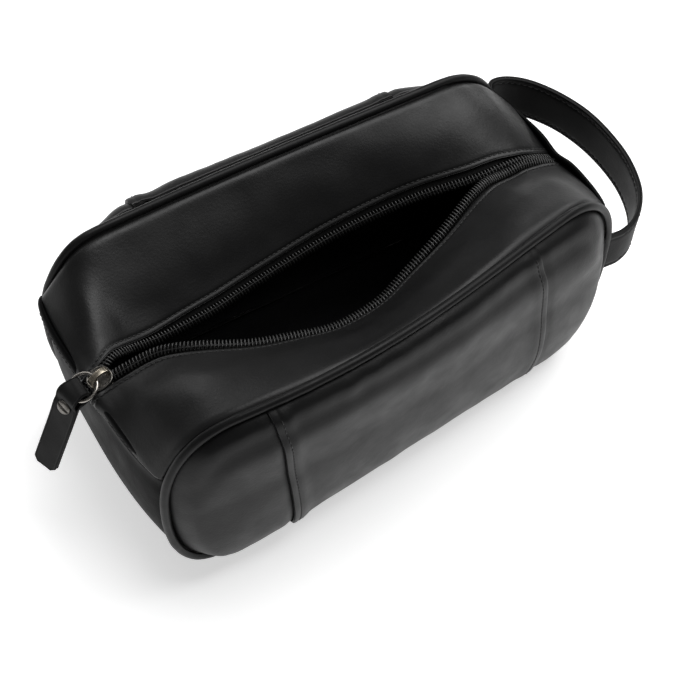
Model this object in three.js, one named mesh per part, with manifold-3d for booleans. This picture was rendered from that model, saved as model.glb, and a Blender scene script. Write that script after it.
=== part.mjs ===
// A zipped leather wash bag standing on its base with the zip open.
// Millimetres. +X runs along the bag towards the carrying loop, -X towards the zip slider,
// the front panel faces -Y and +Z is up. The origin is the centre of the underside.

import * as THREE from 'three';
import { mergeVertices } from 'three/addons/utils/BufferGeometryUtils.js';
import Module from 'manifold-3d';

const wasm = await Module();
wasm.setup();

// ---------- driving dimensions ----------

const bagLength = 280; // over the widest part of the two ends
const bagHeight = 125; // floor to the piping at the top corners
const leftDepth = 130; // between the two pipings at the slider end
const rightDepth = 103; // between the two pipings at the loop end
const widestHeight = 72; // height at which the ends stand furthest out
const pipingFloorGap = 3; // the lowest piping centre above the floor
const topCornerRun = 42;
const bottomCornerRun = 35;
const cornerSharpness = 2.3; // 2 is an ellipse, more is squarer
const seamHeight = 96; // where the end strip meets the zip flaps

const frontBow = 17; // the open front edge is pushed outwards
const frontRise = 11; // and upwards, at mid length
const frontBowLean = 0.6; // more so towards the slider end
const backRise = 2.5;
const panelPuff = 9;
const panelSeamX = 80; // seams between the centre and end panels

const leather = 1.8;
const lining = 0.8;
const gap = 0.35; // between pieces that touch
const pipingRadius = 2.3;
const pipingWall = 0.7;
const pipingRows = 52;
const pipingClearance = pipingRadius + 1.1;

const endBulge = 6; // the end strip swells out between the pipings
const baseBulge = 3.4; // and reaches the floor underneath

const coilRadius = 0.6;
const tapeThickness = 0.5;
const tapeReach = 9; // tape from the coil to its hidden edge
const tapeShown = 5; // tape from the coil to the folded leather edge
const flapPuff = 3;

const sliderX = -136; // slider centre with the zip open
const sliderZ = 100.5;
const zipSlope = 0.0222; // rise of the slider's straight track
const sliderLength = 12;
const sliderWidth = 11.4;
const plateThickness = 1.3;
const plateHalfGap = 1.3;
const crownWidth = 3.6;

const ringRadius = 7.4; // to the middle of the wire
const ringWire = 0.75;
const ringDroop = THREE.MathUtils.degToRad(20);

const pullWidth = 13.5;
const pullFoldWidth = 12.2; // narrower where it passes through the ring
const pullLeaf = 1.3;
const pullLoopHalf = 2.1; // half the height of the loop's hollow
const screwHead = 3.8;

const strapWidth = 28;
const strapLayer = 1.5;
const strapStartX = 149;
const strapBackZ = 82;
const strapFrontZ = 69;

const halfLength = bagLength / 2;

// ---------- materials ----------

function finish(color, roughness, metalness = 0) {
  return new THREE.MeshStandardMaterial({ color, roughness, metalness });
}

const materials = {
  panel: finish(0x1d1d1d, 0.5),
  flap: finish(0x191919, 0.5),
  gusset: finish(0x161616, 0.55),
  piping: finish(0x1a1a1a, 0.45),
  cord: finish(0xb9b4a8, 0.9),
  lining: finish(0x0e0e10, 0.9),
  tape: finish(0x0b0b0b, 0.95),
  coil: finish(0x131313, 0.35),
  metal: finish(0x4b4844, 0.35, 1),
  crown: finish(0x7d7466, 0.3, 1),
  strap: finish(0x181818, 0.5),
};

// ---------- closed bodies from points ----------

function vec(x, y, z) {
  return new THREE.Vector3(x, y, z);
}

// Six times the signed volume; positive when the faces point out.
function signedVolume(points, faces) {
  let total = 0;
  const cross = new THREE.Vector3();
  for (const [a, b, c] of faces) {
    cross.crossVectors(points[b], points[c]);
    total += points[a].dot(cross);
  }
  return total;
}

function bodyFrom(points, faces) {
  const inward = signedVolume(points, faces) < 0;
  const index = faces.flatMap(([a, b, c]) => (inward ? [a, c, b] : [a, b, c]));
  const geometry = new THREE.BufferGeometry().setFromPoints(points);
  geometry.setIndex(index);
  geometry.computeVertexNormals();
  return geometry;
}

function quad(faces, a, b, c, d) {
  faces.push([a, b, c], [a, c, d]);
}

// A closed sheet: two grids of (rows + 1) x (cols + 1) points joined round their rim.
function sheet(rows, cols, outer, inner) {
  const points = [];
  for (const side of [outer, inner]) {
    for (let i = 0; i <= rows; i += 1) {
      for (let j = 0; j <= cols; j += 1) {
        points.push(side(i / rows, j / cols));
      }
    }
  }
  const under = (rows + 1) * (cols + 1);
  const at = (i, j) => i * (cols + 1) + j;
  const faces = [];
  for (let i = 0; i < rows; i += 1) {
    for (let j = 0; j < cols; j += 1) {
      quad(faces, at(i, j), at(i + 1, j), at(i + 1, j + 1), at(i, j + 1));
      quad(faces, under + at(i, j), under + at(i, j + 1),
        under + at(i + 1, j + 1), under + at(i + 1, j));
    }
    quad(faces, at(i, 0), under + at(i, 0), under + at(i + 1, 0), at(i + 1, 0));
    quad(faces, at(i, cols), at(i + 1, cols), under + at(i + 1, cols), under + at(i, cols));
  }
  for (let j = 0; j < cols; j += 1) {
    quad(faces, at(0, j), at(0, j + 1), under + at(0, j + 1), under + at(0, j));
    quad(faces, at(rows, j), under + at(rows, j), under + at(rows, j + 1), at(rows, j + 1));
  }
  return bodyFrom(points, faces);
}

// A body through a row of equal sections; an open row is closed by a fan at each end.
function sweep(sections, closed) {
  const count = sections.length;
  const size = sections[0].length;
  const points = sections.flat();
  const faces = [];
  const last = closed ? count : count - 1;
  for (let i = 0; i < last; i += 1) {
    const next = (i + 1) % count;
    for (let j = 0; j < size; j += 1) {
      const k = (j + 1) % size;
      quad(faces, i * size + j, next * size + j, next * size + k, i * size + k);
    }
  }
  if (!closed) {
    const end = (count - 1) * size;
    for (let j = 1; j < size - 1; j += 1) {
      faces.push([0, j, j + 1], [end, end + j + 1, end + j]);
    }
  }
  return bodyFrom(points, faces);
}

function solidOf(geometry) {
  const plain = geometry.clone();
  plain.deleteAttribute('normal');
  plain.deleteAttribute('uv');
  const merged = mergeVertices(plain, 1e-4);
  return new wasm.Manifold(new wasm.Mesh({
    numProp: 3,
    vertProperties: new Float32Array(merged.attributes.position.array),
    triVerts: new Uint32Array(merged.index.array),
  }));
}

function geometryOf(solid) {
  const mesh = solid.getMesh();
  const geometry = new THREE.BufferGeometry();
  geometry.setAttribute('position', new THREE.BufferAttribute(mesh.vertProperties, 3));
  geometry.setIndex(new THREE.BufferAttribute(mesh.triVerts, 1));
  geometry.computeVertexNormals();
  return geometry;
}

// ---------- the bag's outline ----------

function power(value, exponent) {
  return Math.sign(value) * Math.abs(value) ** exponent;
}

// Corner of the outline drawn in by inset; the angle runs from 0 at the end to 90 at top or base.
function cornerPoint(end, upper, angle, inset) {
  const runX = (upper ? topCornerRun : bottomCornerRun) - inset;
  const runZ = upper ? bagHeight - inset - widestHeight : pipingFloorGap + inset - widestHeight;
  const exponent = 2 / cornerSharpness;
  const x = end * (halfLength - inset - runX + runX * power(Math.cos(angle), exponent));
  return new THREE.Vector2(x, widestHeight + runZ * power(Math.sin(angle), exponent));
}

const seamAngle = Math.asin(
  ((seamHeight - widestHeight) / (bagHeight - widestHeight)) ** (cornerSharpness / 2),
);

function cornerRun(end, upper, fromAngle, toAngle, inset, steps = 14) {
  const points = [];
  for (let i = 0; i <= steps; i += 1) {
    points.push(cornerPoint(end, upper, fromAngle + ((toAngle - fromAngle) * i) / steps, inset));
  }
  return points;
}

const quarter = Math.PI / 2;

// From the slider-end seam over the top to the loop-end seam.
function topOutline(inset) {
  return [
    ...cornerRun(-1, true, seamAngle, quarter, inset),
    ...cornerRun(1, true, quarter, seamAngle, inset),
  ];
}

// From the slider-end seam under the base to the loop-end seam.
function baseOutline(inset) {
  return [
    ...cornerRun(-1, true, seamAngle, 0, inset, 5),
    ...cornerRun(-1, false, 0, quarter, inset).slice(1),
    ...cornerRun(1, false, quarter, 0, inset),
    ...cornerRun(1, true, 0, seamAngle, inset, 5).slice(1),
  ];
}

// A point at a fraction of the way along a row of points, by distance.
function along(points, fraction) {
  const lengths = [0];
  for (let i = 1; i < points.length; i += 1) {
    lengths.push(lengths[i - 1] + points[i].distanceTo(points[i - 1]));
  }
  const target = THREE.MathUtils.clamp(fraction, 0, 1) * lengths[lengths.length - 1];
  let i = 1;
  while (i < points.length - 1 && lengths[i] < target) {
    i += 1;
  }
  const t = (target - lengths[i - 1]) / (lengths[i] - lengths[i - 1]);
  return points[i - 1].clone().lerp(points[i], t);
}

// Height of the outline above or below widestHeight at one x.
function outlineHeight(x, upper, inset) {
  const runX = (upper ? topCornerRun : bottomCornerRun) - inset;
  const runZ = upper ? bagHeight - inset - widestHeight : pipingFloorGap + inset - widestHeight;
  const past = Math.max(0, Math.abs(x) - (halfLength - inset - runX)) / runX;
  const side = Math.max(0, 1 - past ** cornerSharpness) ** (1 / cornerSharpness);
  return widestHeight + runZ * side;
}

function halfDepth(x) {
  return THREE.MathUtils.lerp(leftDepth, rightDepth, (x + halfLength) / bagLength) / 2;
}

function swell(x, z) {
  const reach = THREE.MathUtils.clamp(x / halfLength, -1, 1);
  const height = THREE.MathUtils.clamp(z / bagHeight, 0, 1);
  return (1 - reach * reach) ** 1.5 * (1 - frontBowLean * reach) * height;
}

// A point of the front (side -1) or back (side 1) face of the outline.
function facePoint(side, x, z) {
  const amount = swell(x, z);
  if (side < 0) {
    return vec(x, -halfDepth(x) - frontBow * amount, z + frontRise * amount);
  }
  return vec(x, halfDepth(x), z + backRise * amount);
}

// ---------- panels ----------

// Front or back panel between two x positions, puffed between the pipings.
function panel(side, fromX, toX, rows, cols, inset, depthOffset, thickness) {
  const place = (u, v, push) => {
    const x = THREE.MathUtils.lerp(fromX, toX, u);
    const low = outlineHeight(x, false, inset);
    const high = outlineHeight(x, true, inset);
    const z = THREE.MathUtils.lerp(low, high, v);
    const across = 1 - Math.abs(2 * v - 1) ** 2.4;
    const end = 1 - Math.min(1, Math.abs(x / halfLength)) ** 6;
    const point = facePoint(side, x, z);
    point.y += side * (panelPuff * across * end + depthOffset - push);
    return point;
  };
  return sheet(rows, cols, (u, v) => place(u, v, 0), (u, v) => place(u, v, thickness));
}

const panelEndX = halfLength - pipingClearance - 0.6;

function addPanels(group) {
  const sides = [['front', -1], ['back', 1]];
  const slots = [
    ['left', -panelEndX, -panelSeamX - gap / 2, 8],
    ['centre', -panelSeamX + gap / 2, panelSeamX - gap / 2, 8],
    ['right', panelSeamX + gap / 2, panelEndX, 8],
  ];
  for (const [face, side] of sides) {
    for (const [place, fromX, toX, rows] of slots) {
      const body = panel(side, fromX, toX, rows, 6, pipingClearance, 0, leather);
      add(group, `${face}_${place}_panel`, body, materials.panel);
    }
    const liningInset = pipingClearance + 2;
    const liningEnd = halfLength - liningInset - 0.6;
    const body = panel(side, -liningEnd, liningEnd, 16, 5, liningInset, -leather - 0.9, lining);
    add(group, `${face}_lining`, body, materials.lining);
  }
}

// ---------- piping ----------

// The sides of the bag's outline as one closed row of face points with outward directions.
function pipingStations(side, count) {
  const outline = [...topOutline(0), ...baseOutline(0).reverse().slice(1, -1)];
  outline.push(outline[0].clone());
  const stations = [];
  for (let i = 0; i < count; i += 1) {
    const here = along(outline, i / count);
    stations.push(facePoint(side, here.x, here.y));
  }
  return stations.map((point, i) => {
    const ahead = stations[(i + 1) % count];
    const behind = stations[(i + count - 1) % count];
    const tangent = ahead.clone().sub(behind).normalize();
    const outward = tangent.clone().cross(vec(0, 1, 0)).normalize();
    const across = tangent.clone().cross(outward).normalize();
    return { point, outward, across };
  });
}

function atAngle(station, radius, angle) {
  return station.point.clone()
    .addScaledVector(station.outward, radius * Math.cos(angle))
    .addScaledVector(station.across, radius * Math.sin(angle));
}

// The leather cover is a tube slit along the side that is sewn into the seam.
function pipingCover(side) {
  const slit = 0.5;
  const corners = 6;
  const innerRadius = pipingRadius - pipingWall;
  const sections = pipingStations(side, pipingRows).map((station) => {
    const ring = [];
    for (let i = 0; i <= corners; i += 1) {
      const angle = -Math.PI + slit + ((2 * (Math.PI - slit)) * i) / corners;
      ring.push(atAngle(station, pipingRadius, angle));
    }
    for (let i = corners - 1; i >= 1; i -= 1) {
      const angle = -Math.PI + slit + ((2 * (Math.PI - slit)) * i) / corners;
      ring.push(atAngle(station, innerRadius, angle));
    }
    return ring;
  });
  return sweep(sections, true);
}

function pipingCord(side) {
  const corners = 5;
  const radius = 1.1;
  const sections = pipingStations(side, pipingRows).map((station) => {
    const ring = [];
    for (let i = 0; i < corners; i += 1) {
      ring.push(atAngle(station, radius, (2 * Math.PI * i) / corners));
    }
    return ring;
  });
  return sweep(sections, true);
}

function addPiping(group) {
  for (const [face, side] of [['front', -1], ['back', 1]]) {
    add(group, `${face}_piping`, pipingCover(side), materials.piping);
    add(group, `${face}_piping_cord`, pipingCord(side), materials.cord);
  }
}

// ---------- end seams ----------

// The seam across one end of the bag: t runs from -1 at the front to 1 at the back.
function seamPoint(end, t) {
  const start = cornerPoint(end, true, seamAngle, 0);
  const bulge = 1 - Math.abs(t) ** 4;
  return vec(start.x + end * endBulge * bulge, t * halfDepth(start.x), start.y);
}

function smooth(value) {
  const t = THREE.MathUtils.clamp(value, 0, 1);
  return t * t * (3 - 2 * t);
}

// How far a point at this fraction of a strip still belongs to an end seam, and which one.
function seamShare(fraction, reach) {
  const end = fraction < 0.5 ? -1 : 1;
  const distance = Math.min(fraction, 1 - fraction);
  return { end, share: 1 - smooth(distance / reach) };
}

// ---------- end and base strip ----------

function gussetPoint(u, v, inset) {
  const outline = baseOutline(0);
  const here = along(outline, u);
  const ahead = along(outline, u + 0.004);
  const behind = along(outline, u - 0.004);
  const tangent = ahead.sub(behind).normalize();
  const normal = vec(tangent.y, 0, -tangent.x);
  const front = facePoint(-1, here.x, here.y);
  const back = facePoint(1, here.x, here.y);
  const clear = pipingClearance / front.distanceTo(back);
  const t = THREE.MathUtils.lerp(clear, 1 - clear, v);
  const rounded = 1 - Math.abs(2 * v - 1) ** 5;
  const bulge = THREE.MathUtils.lerp(baseBulge, endBulge, Math.abs(normal.x)) * rounded;
  const point = front.clone().lerp(back, t).addScaledVector(normal, bulge - inset);
  const floor = Math.max(0, inset);
  const { end, share } = seamShare(u, 0.035);
  const seam = seamPoint(end, 2 * t - 1).addScaledVector(normal, -inset);
  seam.z -= gap;
  point.lerp(seam, share);
  point.z = Math.max(point.z, floor);
  return point;
}

// The strip, or its lining, with its two ends held back from the seams by a fraction.
function endAndBaseStrip(rows, cols, holdBack, topInset, thickness) {
  const reach = (u) => THREE.MathUtils.lerp(holdBack, 1 - holdBack, u);
  const outer = (u, v) => gussetPoint(reach(u), v, topInset);
  const inner = (u, v) => gussetPoint(reach(u), v, topInset + thickness);
  return sheet(rows, cols, outer, inner);
}

function addGusset(group) {
  const strip = endAndBaseStrip(36, 6, 0, 0, leather);
  add(group, 'end_and_base_strip', strip, materials.gusset);
  const inside = endAndBaseStrip(28, 4, 0.012, leather + 0.9, lining);
  add(group, 'strip_lining', inside, materials.lining);
}

// ---------- zip flaps, tapes and coils ----------

// The slider's straight track.
function trackHeight(x) {
  return sliderZ + (x - sliderX) * zipSlope;
}

// Path of each row of zip coil from the slider end to the loop end. The first and last stretches
// are shared, because the two rows run together there.
const sliderEndRun = [
  [-143.5, 1.4, 96.6],
  [-143.3, 1.4, 99],
  [-142.2, 1.4, trackHeight(-142.2)],
  [-140.4, 1.4, trackHeight(-140.4)],
  [-136, 1.4, trackHeight(-136)],
  [-132, 2.7, trackHeight(-132)],
  [-128, 4.7, trackHeight(-128)],
  [-124.5, 6.8, trackHeight(-124.5)],
];
const loopEndRun = [
  [106, 6.6, trackHeight(106)],
  [111, 4.8, trackHeight(111)],
  [116, 3, trackHeight(116)],
  [121, 1.7, trackHeight(121)],
  [127, 1.4, 105],
  [134, 1.4, 102],
  [140, 1.4, 98.4],
  [142.6, 1.4, 96.6],
];
const frontMouth = [
  [-120.5, 8.8, 102.2],
  [-114, 10.8, 107.6],
  [-107, 12.6, 113],
  [-98, 14.6, 115.8],
  [-88, 18.5, 114],
  [-66, 26, 109],
  [-45, 31, 105],
  [-22, 35, 101],
  [5, 33.5, 101],
  [22, 28.5, 103],
  [49, 18, 111],
  [75, 12.2, 114.6],
  [91, 9.6, 112.4],
  [100, 8.2, 107.6],
];
const backMouth = [
  [-119.5, 9.4, 98.6],
  [-112, 12.4, 94],
  [-98, 15.5, 90],
  [-66, 18.5, 88],
  [-34, 22, 87],
  [10, 24.5, 88.5],
  [50, 22.5, 92],
  [80, 17, 97],
  [94, 12, 101.6],
  [101, 8.8, 104.4],
];

function mouthCurve(side) {
  const middle = side < 0 ? frontMouth : backMouth;
  const rows = [...sliderEndRun, ...middle, ...loopEndRun];
  const knots = rows.map(([x, y, z]) => vec(x, side * y, z));
  return new THREE.CatmullRomCurve3(knots, false, 'centripetal').getPoints(240);
}

const mouths = { front: mouthCurve(-1), back: mouthCurve(1) };
const flapOutline = topOutline(0);

// A point of the flap surface: reach is the distance from the coil towards the piping.
function flapBase(side, u, reachOf) {
  const lip = along(side < 0 ? mouths.front : mouths.back, u);
  const here = along(flapOutline, u);
  const edge = facePoint(side, here.x, here.y);
  const width = lip.distanceTo(edge);
  const w = reachOf(width) / width;
  const point = lip.clone().lerp(edge, w);
  const { end, share } = seamShare(u, 0.05);
  const seam = seamPoint(end, side * w).lerp(lip, (1 - w) ** 8);
  seam.z += gap;
  point.lerp(seam, share * w);
  point.z += flapPuff * Math.sin(Math.PI * w) ** 2 * (1 - share);
  return point;
}

function flapPoint(side, u, reachOf, height) {
  const step = 0.004;
  const point = flapBase(side, u, reachOf);
  const more = flapBase(side, u, (width) => reachOf(width) + 0.5);
  const acrossway = more.sub(flapBase(side, u, (width) => reachOf(width) - 0.5));
  const ahead = flapBase(side, Math.min(1, u + step), reachOf);
  const lengthway = ahead.sub(flapBase(side, Math.max(0, u - step), reachOf));
  const normal = acrossway.cross(lengthway).normalize().multiplyScalar(side);
  if (normal.z < 0) {
    normal.negate();
  }
  return point.addScaledVector(normal, height);
}

// A strip of the flap surface between two reaches and two heights above it, with its two ends
// held back from the seams by a fraction of its length and its rows closer at the ends.
function flapStrip(side, rows, cols, holdBack, fromReach, toReach, low, high) {
  const place = (u, v, height) => {
    const fraction = THREE.MathUtils.lerp(holdBack, 1 - holdBack, crowded(u));
    const reachOf = (width) => THREE.MathUtils.lerp(fromReach(width), toReach(width), v);
    return flapPoint(side, fraction, reachOf, height);
  };
  return sheet(rows, cols, (u, v) => place(u, v, high), (u, v) => place(u, v, low));
}

// Fractions along a strip that lie closer together near its two ends.
function crowded(u) {
  return u - (0.6 * Math.sin(2 * Math.PI * u)) / (2 * Math.PI);
}

function coilRow(side) {
  const corners = 5;
  const rows = 48;
  const path = side < 0 ? mouths.front : mouths.back;
  const sections = [];
  for (let i = 0; i <= rows; i += 1) {
    const fraction = crowded(i / rows);
    const point = along(path, fraction);
    const ahead = along(path, fraction + 0.002);
    const behind = along(path, fraction - 0.002);
    const tangent = ahead.sub(behind).normalize();
    const across = vec(0, 1, 0).cross(tangent).normalize();
    const outward = tangent.clone().cross(across);
    const ring = [];
    for (let j = 0; j < corners; j += 1) {
      ring.push(atAngle({ point, outward, across }, coilRadius, (2 * Math.PI * j) / corners));
    }
    sections.push(ring);
  }
  return sweep(sections, false);
}

function addZip(group) {
  const tapeTop = tapeThickness / 2;
  const flapLow = tapeTop + 0.5;
  const toPiping = (width) => width - pipingClearance - 0.3;
  for (const [face, side] of [['front', -1], ['back', 1]]) {
    const flap = flapStrip(side, 32, 5, 0, () => tapeShown, toPiping, flapLow, flapLow + leather);
    add(group, `${face}_zip_flap`, flap, materials.flap);
    const tape = flapStrip(side, 32, 1, 0.006, () => coilRadius + 0.6, () => tapeReach,
      -tapeTop, tapeTop);
    add(group, `${face}_zip_tape`, tape, materials.tape);
    add(group, `${face}_zip_coil`, coilRow(side), materials.coil);
    const under = flapStrip(side, 24, 3, 0.02, () => tapeReach + 0.6,
      (width) => toPiping(width) - 3.5, -lining - 0.3, -0.3);
    add(group, `${face}_flap_lining`, under, materials.lining);
  }
}

// ---------- slider, ring and pull ----------

function ellipsePrism(lengthX, widthY, height, lowZ) {
  const shape = new THREE.Shape();
  shape.absellipse(0, 0, lengthX / 2, widthY / 2, 0, 2 * Math.PI);
  const body = new THREE.ExtrudeGeometry(shape, {
    depth: height, bevelEnabled: false, curveSegments: 14,
  });
  body.translate(0, 0, lowZ);
  return body;
}

const trackTilt = Math.atan(zipSlope);

function placeOnTrack(geometry) {
  geometry.rotateY(-trackTilt);
  geometry.translate(sliderX, 0, sliderZ);
  return geometry;
}

const plateTop = plateHalfGap + plateThickness;

// Two oval plates joined by the post that parts the rows.
function sliderBody() {
  const upper = solidOf(ellipsePrism(sliderLength, sliderWidth, plateThickness, plateHalfGap));
  const lower = solidOf(ellipsePrism(sliderLength, sliderWidth, plateThickness, -plateTop));
  const post = ellipsePrism(3, 1.6, 2 * plateHalfGap + 0.6, -plateHalfGap - 0.3);
  post.translate(3, 0, 0);
  return placeOnTrack(geometryOf(upper.add(lower).add(solidOf(post))));
}

// The arched crown that holds the ring on top of the slider.
function sliderCrown() {
  const outerX = 5.2;
  const outerZ = 4.8;
  const innerX = 4.1;
  const innerZ = 3.7;
  const foot = plateTop + gap;
  const shape = new THREE.Shape();
  shape.moveTo(outerX, 0);
  shape.absellipse(0, 0, outerX, outerZ, 0, Math.PI);
  shape.lineTo(-innerX, 0);
  shape.absellipse(0, 0, innerX, innerZ, Math.PI, 0, true);
  shape.closePath();
  const body = new THREE.ExtrudeGeometry(shape, {
    depth: crownWidth, bevelEnabled: false, curveSegments: 12,
  });
  body.rotateX(quarter);
  body.translate(0, crownWidth / 2, foot);
  return placeOnTrack(geometryOf(solidOf(body)));
}

// The ring's wire passes under the crown here.
const ringPivot = vec(sliderX - 2.7, 0, sliderZ + plateTop + gap + 1.3);
const ringDirection = vec(-Math.cos(ringDroop), 0, -Math.sin(ringDroop));
const pullPivot = ringPivot.clone().addScaledVector(ringDirection, 2 * ringRadius);

function pullRing() {
  const ring = new THREE.TorusGeometry(ringRadius, ringWire, 8, 28);
  ring.rotateY(-ringDroop);
  const centre = ringPivot.clone().addScaledVector(ringDirection, ringRadius);
  ring.translate(centre.x, centre.y, centre.z);
  return ring;
}

// Side view of the pull's middle line, from the fold inside the ring to the free end.
const pullPath = new THREE.CatmullRomCurve3([
  ringPivot.clone().addScaledVector(ringDirection, ringRadius - 0.2),
  ringPivot.clone().addScaledVector(ringDirection, ringRadius + 3.4),
  pullPivot,
  pullPivot.clone().add(vec(-2.6, 0, -4.2)),
  pullPivot.clone().add(vec(-6.2, 0, -13)),
  pullPivot.clone().add(vec(-19.8, 0, -45)),
]);

// Half thickness of the folded leather at a fraction of its length: a loop, then two flat leaves.
function pullHalf(fraction) {
  const loop = pullLoopHalf + pullLeaf;
  const nose = Math.sqrt(Math.max(0, 1 - (1 - Math.min(1, fraction / 0.05)) ** 2));
  const flat = smooth((fraction - 0.13) / 0.08);
  return THREE.MathUtils.lerp(loop * (0.35 + 0.65 * nose), pullLeaf + 0.1, flat);
}

function pullWidthAt(fraction) {
  return THREE.MathUtils.lerp(pullFoldWidth, pullWidth, smooth(fraction / 0.16));
}

function pullSections(fromFraction, toFraction, rows, halfOf, widthOf) {
  const sections = [];
  for (let i = 0; i <= rows; i += 1) {
    const f = THREE.MathUtils.lerp(fromFraction, toFraction, i / rows);
    const point = pullPath.getPointAt(f);
    const tangent = pullPath.getTangentAt(f);
    const normal = vec(-tangent.z, 0, tangent.x);
    const half = halfOf(f);
    const width = widthOf(f);
    const ring = [[-1, -1], [1, -1], [1, 1], [-1, 1]].map(([across, up]) => point.clone()
      .addScaledVector(normal, up * half)
      .add(vec(0, (across * width) / 2, 0)));
    sections.push(ring);
  }
  return sweep(sections, false);
}

const screwFraction = 0.275;

function pullFrame() {
  const point = pullPath.getPointAt(screwFraction);
  const tangent = pullPath.getTangentAt(screwFraction);
  const normal = vec(tangent.z, 0, -tangent.x);
  if (normal.z < 0) {
    normal.negate();
  }
  const turn = new THREE.Quaternion().setFromUnitVectors(vec(0, 0, 1), normal);
  return new THREE.Matrix4().compose(point, turn, vec(1, 1, 1));
}

const pullHalfAtScrew = pullLeaf + 0.1;

function pullStrap() {
  const hollowEnd = 0.19;
  const hollow = (f) => {
    const near = Math.min(1, (f - 0.02) / 0.03);
    const far = Math.min(1, (hollowEnd - f) / 0.08);
    return Math.max(0.25, pullLoopHalf * Math.min(near, far));
  };
  const outer = solidOf(pullSections(0, 1, 30, pullHalf, pullWidthAt));
  const inner = solidOf(pullSections(0.025, hollowEnd, 12, hollow, () => pullWidth + 2));
  const hole = new THREE.CylinderGeometry(2, 2, 12, 16);
  hole.rotateX(quarter);
  hole.applyMatrix4(pullFrame());
  return geometryOf(outer.subtract(inner).subtract(solidOf(hole)));
}

function lathe(profile, segments = 18) {
  const points = profile.map(([r, z]) => new THREE.Vector2(r, z));
  const body = new THREE.LatheGeometry(points, segments);
  body.rotateX(quarter);
  return body;
}

// A slotted screw head with its shank.
function pullScrew() {
  const seat = pullHalfAtScrew + gap;
  const body = solidOf(lathe([
    [0, -1.6], [1.1, -1.6], [1.1, seat], [screwHead, seat],
    [screwHead, seat + 0.6], [2.9, seat + 1.2], [0, seat + 1.4],
  ]));
  const slot = new THREE.BoxGeometry(9, 0.8, 1.2);
  slot.rotateZ(0.5);
  slot.translate(0, 0, seat + 1.4);
  return geometryOf(body.subtract(solidOf(slot))).applyMatrix4(pullFrame());
}

// The tubular nut behind the leather that the screw turns into.
function pullScrewPost() {
  const seat = -pullHalfAtScrew - gap;
  return lathe([
    [0, seat - 0.9], [screwHead, seat - 0.9], [screwHead, seat], [1.7, seat],
    [1.7, pullHalfAtScrew - 0.1], [1.3, pullHalfAtScrew - 0.1], [1.3, -1.9], [0, -1.9],
  ]).applyMatrix4(pullFrame());
}

function addSlider(group) {
  add(group, 'slider_body', sliderBody(), materials.metal);
  add(group, 'slider_crown', sliderCrown(), materials.crown);
  add(group, 'pull_ring', pullRing(), materials.metal);
  add(group, 'pull_strap', pullStrap(), materials.strap);
  add(group, 'pull_screw', pullScrew(), materials.metal);
  add(group, 'pull_screw_post', pullScrewPost(), materials.metal);
}

// ---------- carrying loop ----------

// Middle line of the strap, from the back seam round to the front seam.
const strapPath = new THREE.CatmullRomCurve3([
  [strapStartX, 54.5],
  [158, 56.5],
  [168, 52],
  [178, 40],
  [184, 22],
  [186, 2],
  [184, -17],
  [177, -34],
  [167, -46],
  [158, -51.5],
  [strapStartX, -53],
].map(([x, y], i) => vec(x, y, THREE.MathUtils.lerp(strapBackZ, strapFrontZ, i / 10))));

function strapLayerBody(outside, inside) {
  const rows = 30;
  const place = (u, v, offset) => {
    const point = strapPath.getPointAt(u);
    const tangent = strapPath.getTangentAt(u);
    const outward = vec(-tangent.y, tangent.x, 0).normalize();
    point.addScaledVector(outward, offset);
    point.z += (v - 0.5) * strapWidth;
    return point;
  };
  return sheet(rows, 2, (u, v) => place(u, v, outside), (u, v) => place(u, v, inside));
}

// The end of the strap that is sewn into the seam, cut to a point so that the loop can swing.
function sewnEnd(y, z) {
  const nearX = strapStartX - 0.7;
  const farX = halfLength + pipingRadius + 0.5;
  const base = 8.5;
  const tip = 0.8;
  const depth = 2.4;
  const shape = new THREE.Shape();
  shape.moveTo(farX, -base);
  shape.lineTo(nearX, -tip);
  shape.lineTo(nearX, tip);
  shape.lineTo(farX, base);
  shape.closePath();
  const body = new THREE.ExtrudeGeometry(shape, { depth, bevelEnabled: false });
  body.rotateX(quarter);
  body.translate(0, y + depth / 2, z);
  return body;
}

function addLoop(group) {
  add(group, 'loop_strap', strapLayerBody(-gap / 2 - strapLayer, -gap / 2), materials.strap);
  add(group, 'loop_strap_backing', strapLayerBody(gap / 2, gap / 2 + strapLayer), materials.strap);
  add(group, 'loop_back_end', sewnEnd(54.5, strapBackZ), materials.strap);
  add(group, 'loop_front_end', sewnEnd(-53, strapFrontZ), materials.strap);
}

// ---------- assembly ----------

function add(group, name, geometry, material) {
  const mesh = new THREE.Mesh(geometry, material);
  mesh.name = name;
  group.add(mesh);
}

const bag = new THREE.Group();
addPanels(bag);
addPiping(bag);
addGusset(bag);
addZip(bag);
addSlider(bag);
addLoop(bag);

export default bag;
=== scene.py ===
"""Looks of the leather toiletry bag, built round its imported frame.

Lengths are millimetres until a mesh is made, in the frame's own axes: +X runs along the bag
towards the carrying loop, -X towards the zip slider, the front panel faces -Y and +Z is up.
"""
import math

import bpy
import numpy as np
from mathutils import Matrix, Vector, noise


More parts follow.
